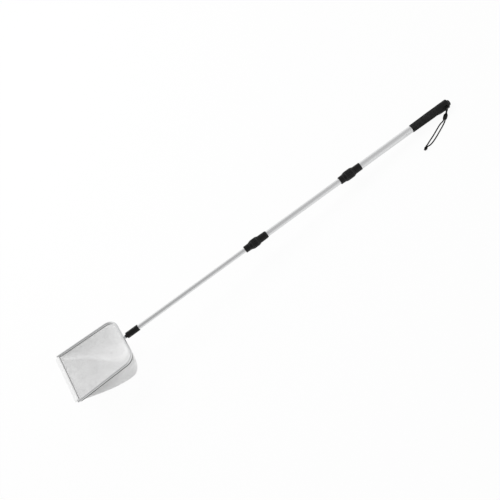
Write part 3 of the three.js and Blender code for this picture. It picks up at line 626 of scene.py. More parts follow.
knot_path = headed(trefoil() * KNOT_REACH, KNOT_HEADING, KNOT_PLACE)
knot = swept("tied_knot", knot_path, KNOT_CORD, 0.4 * MM, KNOT_ACROSS, 20, braid_relief)
tails = []
for side, name in ((-1, "melted_end_right"), (1, "melted_end_left")):
    tail_line = np.array(TAIL_POINTS) * (1, side, 1) * MM
    tail_path = even_path(through(headed(tail_line, KNOT_HEADING, KNOT_PLACE)), CORD_STEP)
    tails.append(swept(name, tail_path, TAIL_RADIUS, TAIL_ROUNDING, beside_cord, 20))
for piece in (knot, *tails):
    dress(piece, "upper_section", "black_cord", black_braid, "cord_knot")
print("knot cord: %.1f mm" % (length_of(knot_path) / MM))

# %% [markdown]
# ## Drawn aluminium
# The rods and tubes are pulled through a die, which leaves fine straight lines along them, and then
# brightened and clear anodised. Real lines could be cut in the mesh, but they are a few hundredths of a
# millimetre wide, so noise stretched a hundred times along the UV map does it: it changes the roughness and
# bumps the surface very slightly, and larger soft noise makes the handled places duller. The wire under the
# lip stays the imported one, which has no UV map, so its lines follow the object's axes.

# %% Drawn aluminium finish
UV_LINES = (9, 1700, 1)
WIRE_LINES = (1700, 9, 1700)


def drawn_metal(tone, roughness, line_depth, kind="UV", squeeze=UV_LINES):
    """Lines are noise squeezed across the bar and stretched along it, and rubs are slow noise on the
    piece."""

    def surface(nodes):
        lines = nodes.noise(squeeze, 3.0, kind)
        rubs = nodes.noise((14, 22, 22), 3.0)
        shade = (lines * 0.55 + rubs * 0.45).clipped()
        return {
            "Base Color": nodes.mixed(shade, tuple(0.93 * c for c in tone), tone),
            "Metallic": 1.0,
            "Roughness": (roughness - 0.06) + 0.12 * lines + 0.08 * rubs - 0.05 * nodes.field("wear"),
            "Normal": nodes.bumped(lines, line_depth),
        }

    return surface


bright_tube = finish("bright_tube", drawn_metal((0.82, 0.825, 0.83), 0.28, 0.00001))
bright_rod = finish("bright_rod", drawn_metal((0.80, 0.805, 0.81), 0.22, 0.000008))
plain_wire = finish(
    "plain_wire", drawn_metal((0.72, 0.73, 0.74), 0.34, 0.00001, "Object", WIRE_LINES)
)
coat(frame["nodes"]["front_wire"], plain_wire)

# %% [markdown]
# ## The bent rod
# One round rod makes the scoop's two sides and its back. Its path is three straight lines, spread a little
# towards the front, with two round bends. The same corner helper that rounds outlines gives the path, and
# the rod is swept along it. A curve with a bevel would do the same, but this mesh ends in properly rounded
# tips.

# %% Bent rod
FRAME_LENGTH = 181.0
FRONT_HALF = 80.0
BACK_HALF = 73.0
BEND_RADIUS = 28.0
BEND_STEPS = 24
ROD_RADIUS = 3.25
ROD_REACH = 2.5  # how far the rod's ends run on past the front wire
ROD_ROUNDING = 0.9
ROD_STEP = 1.5
rod_front = FRAME_LENGTH + ROD_REACH
rod_half = FRONT_HALF + (FRONT_HALF - BACK_HALF) / FRAME_LENGTH * ROD_REACH
rod_line = rounded_outline([
    (-rod_front, rod_half), (0, BACK_HALF, BEND_RADIUS),
    (0, -BACK_HALF, BEND_RADIUS), (-rod_front, -rod_half),
], False, BEND_STEPS)
rod_path = even_path(in_scene(rod_line[:, 0], rod_line[:, 1], 0.0), ROD_STEP * MM)
bent_rod = swept("bent_rod", rod_path, ROD_RADIUS * MM, ROD_ROUNDING * MM, ABOVE, 32)
dress(bent_rod, "head", "bright_aluminium", bright_rod, "hoop_rod")
print("rod length: %.0f mm" % (length_of(rod_path) / MM))

# %% [markdown]
# ## The soft lip
# A white soft strip is pressed on the front wire. Its section is a round bead with a thin blade that tapers
# to the front. The section is one closed outline, extruded across the scoop by laying it on rows of a grid,
# which a solid with a bevel couldn't do with a taper. The blade is soft and long, so it waves by a few
# tenths of a millimetre.

# %% Soft lip
LIP_BEAD = 3.0
BLADE_LENGTH = 6.0
BLADE_THICK = 0.9  # half of it where it leaves the bead, and all of it at the tip
LIP_WAVE = 0.25
LIP_WAVE_LENGTHS = (9.0, 31.0)
LIP_HALF = FRONT_HALF - ROD_RADIUS - 0.3
LIP_ROUNDING = 0.3  # mm at each end
LIP_ROWS = 121


def lip_surface(nodes):
    """Soft white moulding: nearly even, with faint flow marks along the strip and dirt in its pores."""
    marks = nodes.noise((160, 25, 160), 3.0)
    blend = marks * 0.6 + nodes.noise(1500) * 0.4
    return {
        "Base Color": nodes.mixed(blend.clipped(), 0.90, 0.98),
        "Roughness": 0.38 + 0.2 * marks,
        "Normal": nodes.bumped(blend, 0.00006),
    }


joint = math.asin(BLADE_THICK / LIP_BEAD)
bead_turn = np.linspace(math.pi + joint, 3 * math.pi - joint, 40)
blade_turn = np.linspace(math.pi / 2, 3 * math.pi / 2, 9)
tip = -FRAME_LENGTH - LIP_BEAD - BLADE_LENGTH + BLADE_THICK / 2
section = np.concatenate([
    [(-FRAME_LENGTH + LIP_BEAD * math.cos(a), LIP_BEAD * math.sin(a)) for a in bead_turn],
    [(tip + BLADE_THICK / 2 * math.cos(a), BLADE_THICK / 2 * math.sin(a)) for a in blade_turn],
])
section = finer(np.vstack([section, section[:1]]), 0.7)[:-1]
rows = np.linspace(-1, 1, LIP_ROWS)
end_round = np.concatenate([[0.0], np.sin(np.linspace(0.25, 1, 5) * math.pi / 2)])
size_at = np.concatenate([end_round, np.ones(LIP_ROWS), end_round[::-1]])[:, None]
end_place = np.full(len(end_round), LIP_HALF)
across_at = np.concatenate([-end_place, rows * (LIP_HALF - LIP_ROUNDING), end_place])[:, None]
blade_share = np.clip((-FRAME_LENGTH - LIP_BEAD - section[:, 0]) / BLADE_LENGTH, 0, 1)
wave = LIP_WAVE * np.sin(across_at / LIP_WAVE_LENGTHS[0]) * np.sin(across_at / LIP_WAVE_LENGTHS[1] + 1)
lip_x = (section[:, 0] + FRAME_LENGTH) * size_at - FRAME_LENGTH
lip_z = section[:, 1] * size_at + wave * blade_share
lip_uv = uv_grid(across_at[:, 0] * MM, np.linspace(0, 0.03, len(section) + 1))
soft_lip = grid_surface("soft_lip", in_scene(lip_x, across_at, lip_z), lip_uv, {"wear": 0.0}, (False, True))
dress(soft_lip, "head", "white_soft_plastic", finish("white_lip", lip_surface), "front_lip")

# %% [markdown]
# ## The net bag
# The bag is knitted netting, sewn to a folded hem that hangs from the rods. It is shaped by its rim, which
# follows the rods, and by its lowest line, which slopes down from the front to a deep pocket near the back
# and then climbs the back wall. Between the two, a cross-section is a squared-off half ellipse: the fourth
# powers of its width and depth shares add up to one. A cloth simulation could hang it too, but netting this
# stiff keeps the shape it was sewn to, so the surface is worked out directly and then given its sag and its
# folds. Its grid would bunch where the formula is steep, so each section is walked along once and cut again
# into even steps.

# %% The bag's rim and lowest line
BAG_TOP = -4.15
BAG_DEPTH = 93.0
BAG_DEEPEST = 42.0
BAG_TAPER = 0.05
BAG_POWER = 0.5
FRONT_HANDLES = ((0.8, 0.62), (0.5, 1.0))
BACK_HANDLES = ((0.45, 1.0), (0.15, 0.55))
BAG_ROWS = 150
BAG_COLUMNS = 200


def bezier(points, steps=400):
    """The usual cubic blend of four points."""
    t = np.linspace(0, 1, steps)[:, None]
    p = np.array(points, float)
    return (1 - t) ** 3 * p[0] + 3 * t * (1 - t) ** 2 * p[1] + 3 * t**2 * (1 - t) * p[2] + t**3 * p[3]


def at_shares(line, count):
    """Points at even shares of a line's length."""
    along = distances(line)
    return at_places(line, np.linspace(0, along[-1], count), along)


half_rim = rounded_outline(
    [(-FRAME_LENGTH, FRONT_HALF), (0, BACK_HALF, BEND_RADIUS), (0, -BACK_HALF)], False, BEND_STEPS
)[:-1, :2]
deepest = (-BAG_DEEPEST, -BAG_DEPTH)
front_handles = [(-FRAME_LENGTH * x, -BAG_DEPTH * d) for x, d in FRONT_HANDLES]
back_handles = [(-BAG_DEEPEST * x, -BAG_DEPTH * d) for x, d in BACK_HANDLES]
front_sweep = bezier([(-FRAME_LENGTH, 0), *front_handles, deepest])
back_sweep = bezier([deepest, *back_handles, (0, 0)])
rim = at_shares(half_rim, BAG_ROWS)
keel = at_shares(np.vstack([front_sweep, back_sweep[1:]]), BAG_ROWS)
print("rim %.0f mm, lowest line %.0f mm" % (distances(rim)[-1], distances(keel)[-1]))

# %% The bag's surface
FINE_COLUMNS = 2400
turn = np.linspace(0, math.pi, FINE_COLUMNS)
aside = signed_power(np.cos(turn), BAG_POWER)
down = np.sin(turn) ** BAG_POWER
down[[0, -1]] = 0
fine = np.stack([
    rim[:, :1] + (keel[:, :1] - rim[:, :1]) * down,
    rim[:, 1:] * aside * (1 - BAG_TAPER * down),
    BAG_TOP + keel[:, 1:] * down,
], axis=-1)
section_walks = distances(fine, 1)
share = np.linspace(0, 1, BAG_COLUMNS)
bag = np.stack([at_places(line, share * walk[-1], walk) for walk, line in zip(section_walks, fine)])

# %% [markdown]
# ## Folds, sag and two cloth maps
# The real cloth sags between its seams and folds where the side panels meet the floor, and each panel keeps
# its own straight weave. So waves and a raised line push the surface out along its normal, and two maps
# give the weave's two directions: one for the floor, by the distance along the lowest line and across, and
# one for the walls, by the distance along the rim and down. One stretched map for all would shear the
# netting at the corners.

# %% Push the surface out
FOLD_DEPTH = 1.6
FOLD_WIDTH = 7.0
FOLD_FULL, FOLD_FADE = 1.15, 1.7  # the folds fade along the rows, and are gone two thirds of the way back
FOLD_START = 12  # and are full from a twelfth of the way in
SAG = 0.55
WAVE_COUNT = 7
FREE_EDGES = 6  # the sag is full from a sixth of the way in
LEAST_WALL = 4.0
WALL_OF_DEPTH = 0.93  # a wall's length as a share of the depth there
GROUND_GAP = 0.35  # mm that the cloth keeps from the ground
random = np.random.default_rng(11)


def outward(grid):
    """The direction square to a grid of points, from the cross product of its two slopes."""
    normal = np.cross(np.gradient(grid, axis=0), np.gradient(grid, axis=1))
    return normal / (np.linalg.norm(normal, axis=2, keepdims=True) + 1e-12)


row_share = np.linspace(0, 1, BAG_ROWS)[:, None]
row_free = FREE_EDGES * np.minimum(row_share, 1 - row_share)
free = np.minimum(np.sin(math.pi * share), row_free).clip(0, 1)
waves = sum(
    np.sin(math.pi * (a * row_share + b * share) + c) / (1 + 0.5 * k)
    for k, (a, b, c) in enumerate(random.uniform((2, 3, 0), (9, 16, 6), (WAVE_COUNT, 3)))
)
corner_gap = distances(bag, 1)
other_gap = corner_gap[:, -1:] - corner_gap
wall_length = np.hypot(keel[:, 1], LEAST_WALL)[:, None] * WALL_OF_DEPTH
fold_lines = sum(np.exp(-(((gap - wall_length) / FOLD_WIDTH) ** 2)) for gap in (corner_gap, other_gap))
fold_fade = np.clip(FOLD_FULL - row_share * FOLD_FADE, 0, 1) * np.clip(row_share * FOLD_START, 0, 1)
offset = SAG * waves * free + FOLD_DEPTH * fold_lines * fold_fade
bag_out = outward(bag)
bag_out *= -np.sign(bag_out[BAG_ROWS // 2, BAG_COLUMNS // 2, 2])
bag = bag + bag_out * offset[..., None]
bag_points = in_scene(*np.moveaxis(bag, -1, 0))
bag_points[..., 2] = np.maximum(bag_points[..., 2], GROUND_GAP * MM)

# %% The two cloth maps
WALL_TILT = 0.78  # a wall is where the normal points to the side or the back more than this
floor_along = np.interp(bag[..., 0], keel[:, 0], distances(keel))
bag_uv = np.stack([floor_along, bag[..., 1]], axis=-1) * MM
past_bend = bag[..., 0] + BEND_RADIUS
beside_bend = np.abs(bag[..., 1]) - (BACK_HALF - BEND_RADIUS)
round_bend = BEND_RADIUS * np.arctan2(past_bend, np.maximum(beside_bend, 1e-3))
on_back = np.where(beside_bend > 0, round_bend, BEND_RADIUS * math.pi / 2 - beside_bend)
tilt = np.hypot(bag_out[..., 0].clip(0, 1), bag_out[..., 1])
wall_cloth = {
    "wall_along": np.where(past_bend < 0, past_bend, on_back) * MM,
    "wall_down": bag[..., 2] * MM,
    "wall": ((tilt - WALL_TILT) * 10 + 0.5).clip(0, 1),
}

# %% Painted shade and light in the netting: how open it is made to look
CREASE_BLUR = 0.15
CREASE_DROP = 1.8  # towards the back the crease lies lower than the wall's length
CREASE_DROP_FROM, CREASE_DROP_SPAN = 0.28, 0.3
RIM_PAINTED_SHADE_OPENNESS = 0.32
CREASE_PAINTED_LIGHT_GAIN = 1.3  # painted light: how much more open, and so lighter, a wall is made at the crease than at the rim
FLOOR_PAINTED_SHADE_OPENNESS = 0.75
BACK_PAINTED_LIGHT_GAIN, BACK_FROM = 1.6, 0.3  # painted light: the netting is made more open, and so lighter, towards the back
side_gap = np.minimum(corner_gap, other_gap)
from_front = distances(bag, 0)
rim_gap = np.minimum(side_gap, np.minimum(from_front, from_front[-1:] - from_front))
dropped = (row_share - CREASE_DROP_FROM).clip(0, CREASE_DROP_SPAN)
crease_share = side_gap / wall_length / (1 + CREASE_DROP * dropped)
past_crease = ((crease_share - 1) / CREASE_BLUR + 0.5).clip(0, 1)
# Painted shade and light: fewer gaps near the rim darken the netting, more at the crease lighten it, and
# past the crease it darkens again
wall_painted_shade_openness = RIM_PAINTED_SHADE_OPENNESS + CREASE_PAINTED_LIGHT_GAIN * np.minimum(crease_share, 1) ** 2
painted_shade_openness = wall_painted_shade_openness * (1 - past_crease) + FLOOR_PAINTED_SHADE_OPENNESS * past_crease
painted_shade_openness += (row_share - BACK_FROM).clip(0, 1) * BACK_PAINTED_LIGHT_GAIN
bag_fields = {"rim_gap": rim_gap * MM, "painted_shade_openness": painted_shade_openness, **wall_cloth}
net_bag = grid_surface("knitted_bag", bag_points, bag_uv, bag_fields)
bag_area = sum(face.area for face in net_bag.data.polygons)
print("bag area %.4f m2, folds up to %.1f mm" % (bag_area, offset.max()))

# %% [markdown]
# ## Netting
# The netting is white polyester, knitted in small diamonds, so most of what is seen is the ground behind
# it. Real threads would take millions of faces. Instead the finish works out how far a point is from the
# nearest thread of two crossing families and makes everything between the threads clear. It reads the two
# cloth maps, so the diamonds stay even on the floor and on the walls, and the threads cast their own fine
# shadow.

# %% Netting finish
NET_PITCH = 2.4
THREAD_SHARE = 0.34
HEM_ROOM = 1.5
OPEN_GAIN = 0.16
SLACK_GAIN = 0.2


def netting_surface(nodes):
    """The place across a family of threads, as a share of their pitch, is the fraction of a slanted
    distance. A point is on a thread where that fraction is near one half, and the thread is round, so it is
    highest there."""
    on_wall = nodes.field("wall").above(0.5, 0.05)
    maps = zip(nodes.parts(nodes.places("UV")), ("wall_along", "wall_down"))
    along, across = (
        (on_wall * (nodes.field(name) - place) + place) * (1 / (NET_PITCH * MM)) for place, name in maps
    )
    stretch = nodes.noise(28)
    slack = nodes.noise(190, 3.0)
    families = [(along + across).reckon("FRACT"), (along - across).reckon("FRACT")]
    threads = [1 - (family - 0.5).reckon("ABSOLUTE") * 2 for family in families]
    height = threads[0].reckon("MAXIMUM", threads[1])
    # painted shade and light: the openness field fitted to the shade widens or narrows the threads; stretch
    # and slack are the netting's own random unevenness
    edge = (1.0 - THREAD_SHARE) + OPEN_GAIN * (nodes.field("painted_shade_openness") - 0.5)
    edge = edge - OPEN_GAIN * (stretch - 0.5) - SLACK_GAIN * (slack - 0.5)
    sewn = 1 - nodes.field("rim_gap").above(HEM_ROOM * MM, 0.4 * MM)
    fibre = nodes.noise((3200, 3200, 1), 1.0, "UV")
    return {
        "Base Color": nodes.mixed((fibre * 0.6 + stretch * 0.4).clipped(), 0.42, 0.62),
        "Roughness": 0.5 + 0.25 * fibre,
        "Alpha": (height - edge).above(0.0, 0.05).reckon("MAXIMUM", sewn),
        "Normal": nodes.bumped(height + threads[0].reckon("MINIMUM", threads[1]) * 0.5, 0.0003),
    }


# %% [markdown]
# ## The folded hem
# The netting's edge is folded three times and stitched into a band that hangs from the rods. Its colour is
# painted shade from the rods: very dark on its outer face and paler on its inner face. It is one small
# rounded section carried round the rim's closed line, and the stitches pucker it a little. Under the lip it
# rises and moves back to clear the wire.

# %% Hem finish
WEAVE_PITCH = 2.6  # radians of weave per mm
STITCH_LENGTH = 3.2
STITCH_ROW = 2.6  # mm up the hem's face


def hem_surface(nodes):
    """Layers of the same netting, coloured in painted shade: very dark on the outside and paler inside. A
    row of
    stitches crosses them: short light bars where a cosine along the hem is high and the place up it is near
    the row."""
    along, up, _ = nodes.parts(nodes.places("UV", (1000, 1000, 1)))
    weave = (along * WEAVE_PITCH).reckon("SINE") * (up * WEAVE_PITCH).reckon("SINE")
    fibre = nodes.noise((2500, 2500, 1), 1.0, "UV")
    stitch = (along * (2 * math.pi / STITCH_LENGTH)).reckon("COSINE").above(0.1, 0.4)
    stitch = stitch * (1 - ((up - STITCH_ROW).reckon("ABSOLUTE")).above(0.35, 0.2))
    shade = (weave * 0.25 + fibre * 0.6).clipped()
    # painted shade: the outer face very dark and the inner face paler, both darker than the netting itself
    outer, inner = nodes.mixed(shade, 0.02, 0.07), nodes.mixed(shade, 0.25, 0.55)
    return {
        "Base Color": nodes.mixed(stitch, nodes.mixed(nodes.field("inside"), outer, inner), 0.26),
        "Roughness": 0.6 + 0.25 * fibre,
        "Normal": nodes.bumped(weave * 0.3 + fibre * 0.4 + stitch, 0.0003),
    }


# %% Folded hem
HEM_HALF_WIDTH = 0.8
HEM_TOP = -3.1
HEM_BOTTOM = -8.4
HEM_FRONT_BOTTOM = -6.6
HEM_FRONT_BLEND = 12.0
HEM_CORNER = 3.0
HEM_CORNER_STEPS = 16
HEM_FROM_WIRE = 2.6
HEM_FRONT_RISE = 1.6
HEM_SQUARE = 0.5
HEM_PUCKER = 0.15
HEM_STEPS = 600
hem_half = FRONT_HALF - 0.2
loop = at_shares(rounded_outline([
    (-FRAME_LENGTH, hem_half, HEM_CORNER), (0, BACK_HALF, BEND_RADIUS),
    (0, -BACK_HALF, BEND_RADIUS), (-FRAME_LENGTH, -hem_half, HEM_CORNER),
], True, HEM_CORNER_STEPS)[:, :2], HEM_STEPS + 1)
hem_along = distances(loop)
loop = loop[:-1]
ahead = np.roll(loop, -1, axis=0) - np.roll(loop, 1, axis=0)
ahead /= np.linalg.norm(ahead, axis=1, keepdims=True)
out_of_loop = np.stack([ahead[:, 1], -ahead[:, 0]], axis=1)
out_of_loop *= np.sign((out_of_loop * (loop - loop.mean(axis=0))).sum())
section_turn = np.linspace(0, 2 * math.pi, 28, endpoint=False)
hem_across = HEM_HALF_WIDTH * signed_power(np.cos(section_turn), HEM_SQUARE)
hem_up = signed_power(np.sin(section_turn), HEM_SQUARE) * 0.5 + 0.5
past_wire = -loop[:, :1] - FRAME_LENGTH
front_share = np.clip((past_wire + HEM_FRONT_BLEND) / HEM_FRONT_BLEND, 0, 1)
under_lip = np.clip((past_wire + HEM_CORNER) / HEM_CORNER, 0, 1)
hem_low = HEM_BOTTOM + (HEM_FRONT_BOTTOM - HEM_BOTTOM) * front_share
hem_z = hem_low + (HEM_TOP - hem_low) * hem_up + HEM_FRONT_RISE * under_lip
pucker = HEM_PUCKER * np.sin(hem_along[:-1, None] * 2 * math.pi / STITCH_LENGTH)
hem_place = loop[:, None, :] + out_of_loop[:, None, :] * (hem_across + pucker)[..., None]
hem_place[..., 0] += HEM_FROM_WIRE * under_lip
ring = np.stack([hem_across, hem_up * (HEM_TOP - HEM_BOTTOM)], axis=1)
hem_uv = uv_grid(hem_along, distances(np.vstack([ring, ring[:1]]))) * MM
inside = np.clip(0.5 - hem_across / HEM_HALF_WIDTH, 0, 1)
folded_hem = grid_surface(
    "folded_hem", in_scene(hem_place[..., 0], hem_place[..., 1], hem_z), hem_uv,
    {"inside": inside}, (True, True),
)
dress(net_bag, "head", "grey_net", finish("knitted_netting", netting_surface), "net_bag")
dress(folded_hem, "head", "grey_net", finish("hem_cloth_painted_shade", hem_surface), "net_bag")

# %% [markdown]
# ## Stud, washer and socket
# The frame ends in a screw: a boss welded to the back rod, and a threaded shank. It is hidden in the socket
# while the tool is together and comes out when the head is unscrewed, so its thread is modelled. A swept
# ridge could be joined on, but a thread can also be a radius that rises and falls with the place along the
# screw plus the angle's share of one pitch, which leaves one clean mesh.

# %% Screw and washer
BOSS_RADIUS = 5.0
STUD_RADIUS = 4.0
THREAD_PITCH = 1.25
THREAD_DEPTH = 0.68
WASHER_RADIUS = 4.5
WASHER_EDGE = WASHER_RADIUS - 0.15
BOSS_GAP = 0.3
SADDLE_OVERLAP = 0.1  # mm that the boss reaches into the rod, as a weld does
SADDLE_LEAST = 1.5

steel_screw = finish("steel_screw", drawn_metal((0.70, 0.71, 0.72), 0.3, 0.00001))
washer_start, washer_end, _ = span_of("stud_washer")
_, stud_end, _ = span_of("head_stud")
boss_end = washer_start - BOSS_GAP


def thread_relief(x, r, wear, angle):
    """A ridge with sloping flanks: the triangle of the fraction of place over pitch plus the angle's share
    of a turn, flattened at its top and fading out at both ends of the thread."""
    phase = (x / THREAD_PITCH + angle / (2 * math.pi)) % 1
    ridge = np.clip(1.4 * (1 - np.abs(2 * phase - 1)) - 0.1, 0, 1)
    fade = np.clip((x - washer_start) / 1.2, 0, 1) * np.clip(stud_end - 0.8 - x, 0, 1)
    on_shank = (r > 0.9 * STUD_RADIUS) & (x > washer_start)
    return r - np.where(on_shank, THREAD_DEPTH * (1 - ridge * fade) * fade, 0), wear


def on_back_rod(outline, x, left):
    """The boss's first face is hollowed to the rod: it starts where the root of the rod's radius squared
    less the height squared is. The radius and the distance to the left give the height."""
    height_squared = np.clip(outline[:, 1, None] ** 2 - left**2, 0, None)
    saddle = np.clip((ROD_RADIUS - SADDLE_OVERLAP) ** 2 - height_squared, SADDLE_LEAST**2, None)
    return np.maximum(x, np.sqrt(saddle))


boss_face = [(0.0, r, 0.0) for r in np.linspace(0, BOSS_RADIUS, 10)]
shank = rounded_outline([
    (0, BOSS_RADIUS), (boss_end, BOSS_RADIUS, 0.5), (boss_end, STUD_RADIUS),
    (stud_end, STUD_RADIUS, 0.9), (stud_end, 0),
], closed=False)
screw_outline = finer(np.vstack([boss_face, shank[1:]]), 0.12)
screw = turned("welded_screw", screw_outline, AROUND, thread_relief, on_back_rod)
dress(screw, "head", "stainless_steel", steel_screw, "head_stud")
washer = turned_from("soft_washer", [
    (washer_start, STUD_RADIUS + 0.3, 0.2), (washer_end, STUD_RADIUS + 0.3, 0.2),
    (washer_end, WASHER_EDGE, 0.15), ((washer_start + washer_end) / 2, WASHER_RADIUS, 1.5),
    (washer_start, WASHER_EDGE, 0.15),
], 0.4, 64)

# %% [markdown]
# ## Moulded black plastic and rubber
# The socket, the locks and the cap are moulded in one black plastic. A fine eroded texture on the mould
# leaves them satin, and edges that are gripped turn smoother and a little lighter. An image of such a
# texture would have to be wrapped on every piece. Noise on Object coordinates needs no map, and the real
# texture doesn't follow the shape either. The washer is dull rubber.

# %% Moulded plastic and rubber finishes
def moulded_surface(nodes):
    """Fine pits for the satin, slow noise for handling marks, and lighter, smoother edges where wear is
    high."""
    pits = nodes.noise(2600)
    handled = nodes.noise((75, 120, 120), 4.0)
    edge = nodes.field("wear") * (0.55 + 0.6 * handled)
    body = nodes.mixed((handled * 0.5 + pits * 0.5).clipped(), 0.001, 0.004)
    return {
        "Base Color": nodes.mixed(edge.clipped(), body, 0.045),
        "Specular IOR Level": 0.28,
        "Roughness": 0.34 + 0.18 * handled - 0.1 * edge,
        "Normal": nodes.bumped(pits * 0.6 + handled * 0.4, 0.00004),
    }


def rubber_surface(nodes):
    """Dull black with a powdery bloom in patches."""
    bloom = nodes.noise(400, 4.0)
    return {
        "Base Color": nodes.mixed(bloom, 0.006, 0.02),
        "Specular IOR Level": 0.2,
        "Roughness": 0.75 + 0.15 * bloom,
        "Normal": nodes.bumped(bloom, 0.00005),
    }


moulded_black = finish("moulded_black", moulded_surface)
dress(washer, "washer", "black_foam_rubber", finish("black_rubber", rubber_surface), "stud_washer")

# %% Socket
SOCKET_CHAMFER = 1.3
SOCKET_FLOOR = 3.0
TUBE_BORE = 7.35
RUN_GAP = 0.35
socket_start, socket_end, socket_radius = span_of("socket_sleeve")
socket_hole = STUD_RADIUS + RUN_GAP
socket = turned_from("socket_moulding", [
    (socket_start, socket_hole, 0.2), (socket_start + SOCKET_FLOOR, socket_hole),
    (socket_start + SOCKET_FLOOR, TUBE_BORE), (socket_end, TUBE_BORE, 0.15),
    (socket_end, socket_radius, 1.0), (socket_start + SOCKET_CHAMFER, socket_radius, 1.0),
    (socket_start, socket_radius - SOCKET_CHAMFER, 0.4),
], 1.0)
dress(socket, "lower_section", "black_plastic", moulded_black, "socket_sleeve")
print("socket bore radius:", TUBE_BORE)

# %% [markdown]
# ## The three tubes
# Thin-walled tubes, each sliding in the next. They are turned from a closed outline, so that the wall is
# real where an end shows, which a plain cylinder wouldn't give. The widest has a shallow rolled groove just
# before the grip, which shows as a faint arc.

# %% Pole tubes
TUBE_WALL = 0.9
END_ROUNDING = 0.25
GROOVE_FROM_GRIP = 6.0
GROOVE_HALF = 1.0
GROOVE_DEPTH = 0.35
TUBE_BODIES = {
    "lower_tube": "lower_section", "middle_tube": "middle_section", "upper_tube": "upper_section",
}
grip_start, grip_sleeve_end, grip_radius = span_of("grip_sleeve")


def groove(radius):
    """Three rounded corners of an outline: down into the groove, its bottom, and out again."""
    centre = grip_start - GROOVE_FROM_GRIP
    return [(centre + GROOVE_HALF, radius, 0.5), (centre, radius - GROOVE_DEPTH, 0.8),
            (centre - GROOVE_HALF, radius, 0.5)]


for node, body in TUBE_BODIES.items():
    start, end, radius = span_of(node)
    bore = radius - TUBE_WALL
    tube = turned_from(node.replace("_", "_drawn_"), [
        (start, bore, END_ROUNDING), (end, bore, END_ROUNDING), (end, radius, END_ROUNDING),
        *(groove(radius) if node == "upper_tube" else []), (start, radius, END_ROUNDING),
    ], 8.0)
    dress(tube, body, "bright_aluminium", bright_tube, node)

# %% [markdown]
# ## The twist locks
# Each lock is the cleverest piece of the tool. A fluted nut turns on the spigot of a body, its inner cone
# closes a split collet on the thinner tube, and the tube stops sliding. On the outside the nut has a nose,
# a flare, a barrel with sixteen flutes, and a flare down to the body. Cutting the flutes one by one would
# take sixteen Booleans a nut. A flute is a capsule-shaped cutter, so its cut can be written as a radius
# instead: the cutter is a circle whose centre is further out than the barrel, and the barrel keeps
# whichever radius is smaller.

# %% The nut's flutes
FLUTES = 16
FLUTE_RADIUS = 2.1
FLUTE_DEPTH = 0.95
FLUTE_MARGIN = 0.8
EDGE_BAND = 0.16


def flute_relief(barrel_start, barrel_end, barrel_radius):
    """The cutter's centre is at the barrel's radius plus its own less the depth. At an angle a from the
    nearest flute its near side is at the centre's distance times cos a, less the root of its radius squared
    less the distance times sin a, squared. Past its straight length the cutter's radius shrinks as a ball's
    does."""
    middle = (barrel_start + barrel_end) / 2
    straight = (barrel_end - barrel_start) / 2 - FLUTE_MARGIN - FLUTE_RADIUS
    centre = barrel_radius + FLUTE_RADIUS - FLUTE_DEPTH
    pitch = 2 * math.pi / FLUTES

    def relief(x, r, wear, angle):
        past = np.clip(np.abs(x - middle) - straight, 0, None)
        reach = np.sqrt(np.clip(FLUTE_RADIUS**2 - past**2, 0, None))
        off = (angle + pitch / 2) % pitch - pitch / 2
        inside = reach**2 - (centre * np.sin(off)) ** 2
        near_side = centre * np.cos(off) - np.sqrt(np.clip(inside, 0, None))
        cut_radius = np.where(inside > 0, near_side, np.inf)
        ridge = np.exp(-(np.clip(np.abs(r - np.minimum(cut_radius, r + 1)), 0, 1) / EDGE_BAND) ** 2)
        on_barrel = r > barrel_radius - 2 * FLUTE_DEPTH
        return np.minimum(r, cut_radius), np.maximum(wear, np.where(on_barrel, ridge, 0))

    return relief


# %% Nuts and bodies
LOCKS = {
    "lower": {"nose": 15.5, "barrel": 17.0, "nose_radius": 9.75, "body_radius": 10.45, "inner": 6.5,
              "outer": 8.0, "rides": "middle_section"},
    "upper": {"nose": 12.4, "barrel": 20.3, "nose_radius": 10.95, "body_radius": 10.75, "inner": 8.0,
              "outer": 9.5, "rides": "upper_section"},
}
FRONT_FLARE = 8.0
BACK_FLARE = 6.5
MOULD_DRAFT = 0.35
BODY_END_TAPER = 4.5
BODY_END_WALL = 0.7
SPIGOT_WALL = 1.6
SPIGOT_LENGTH = 21.0
LOCK_LIP = 3.0
LOCK_SHOULDER = 2.5
COLLET_TIP_WALL = 0.8
FIT_GAP = 0.3
NUT_AROUND = 256
RIM = 0.9

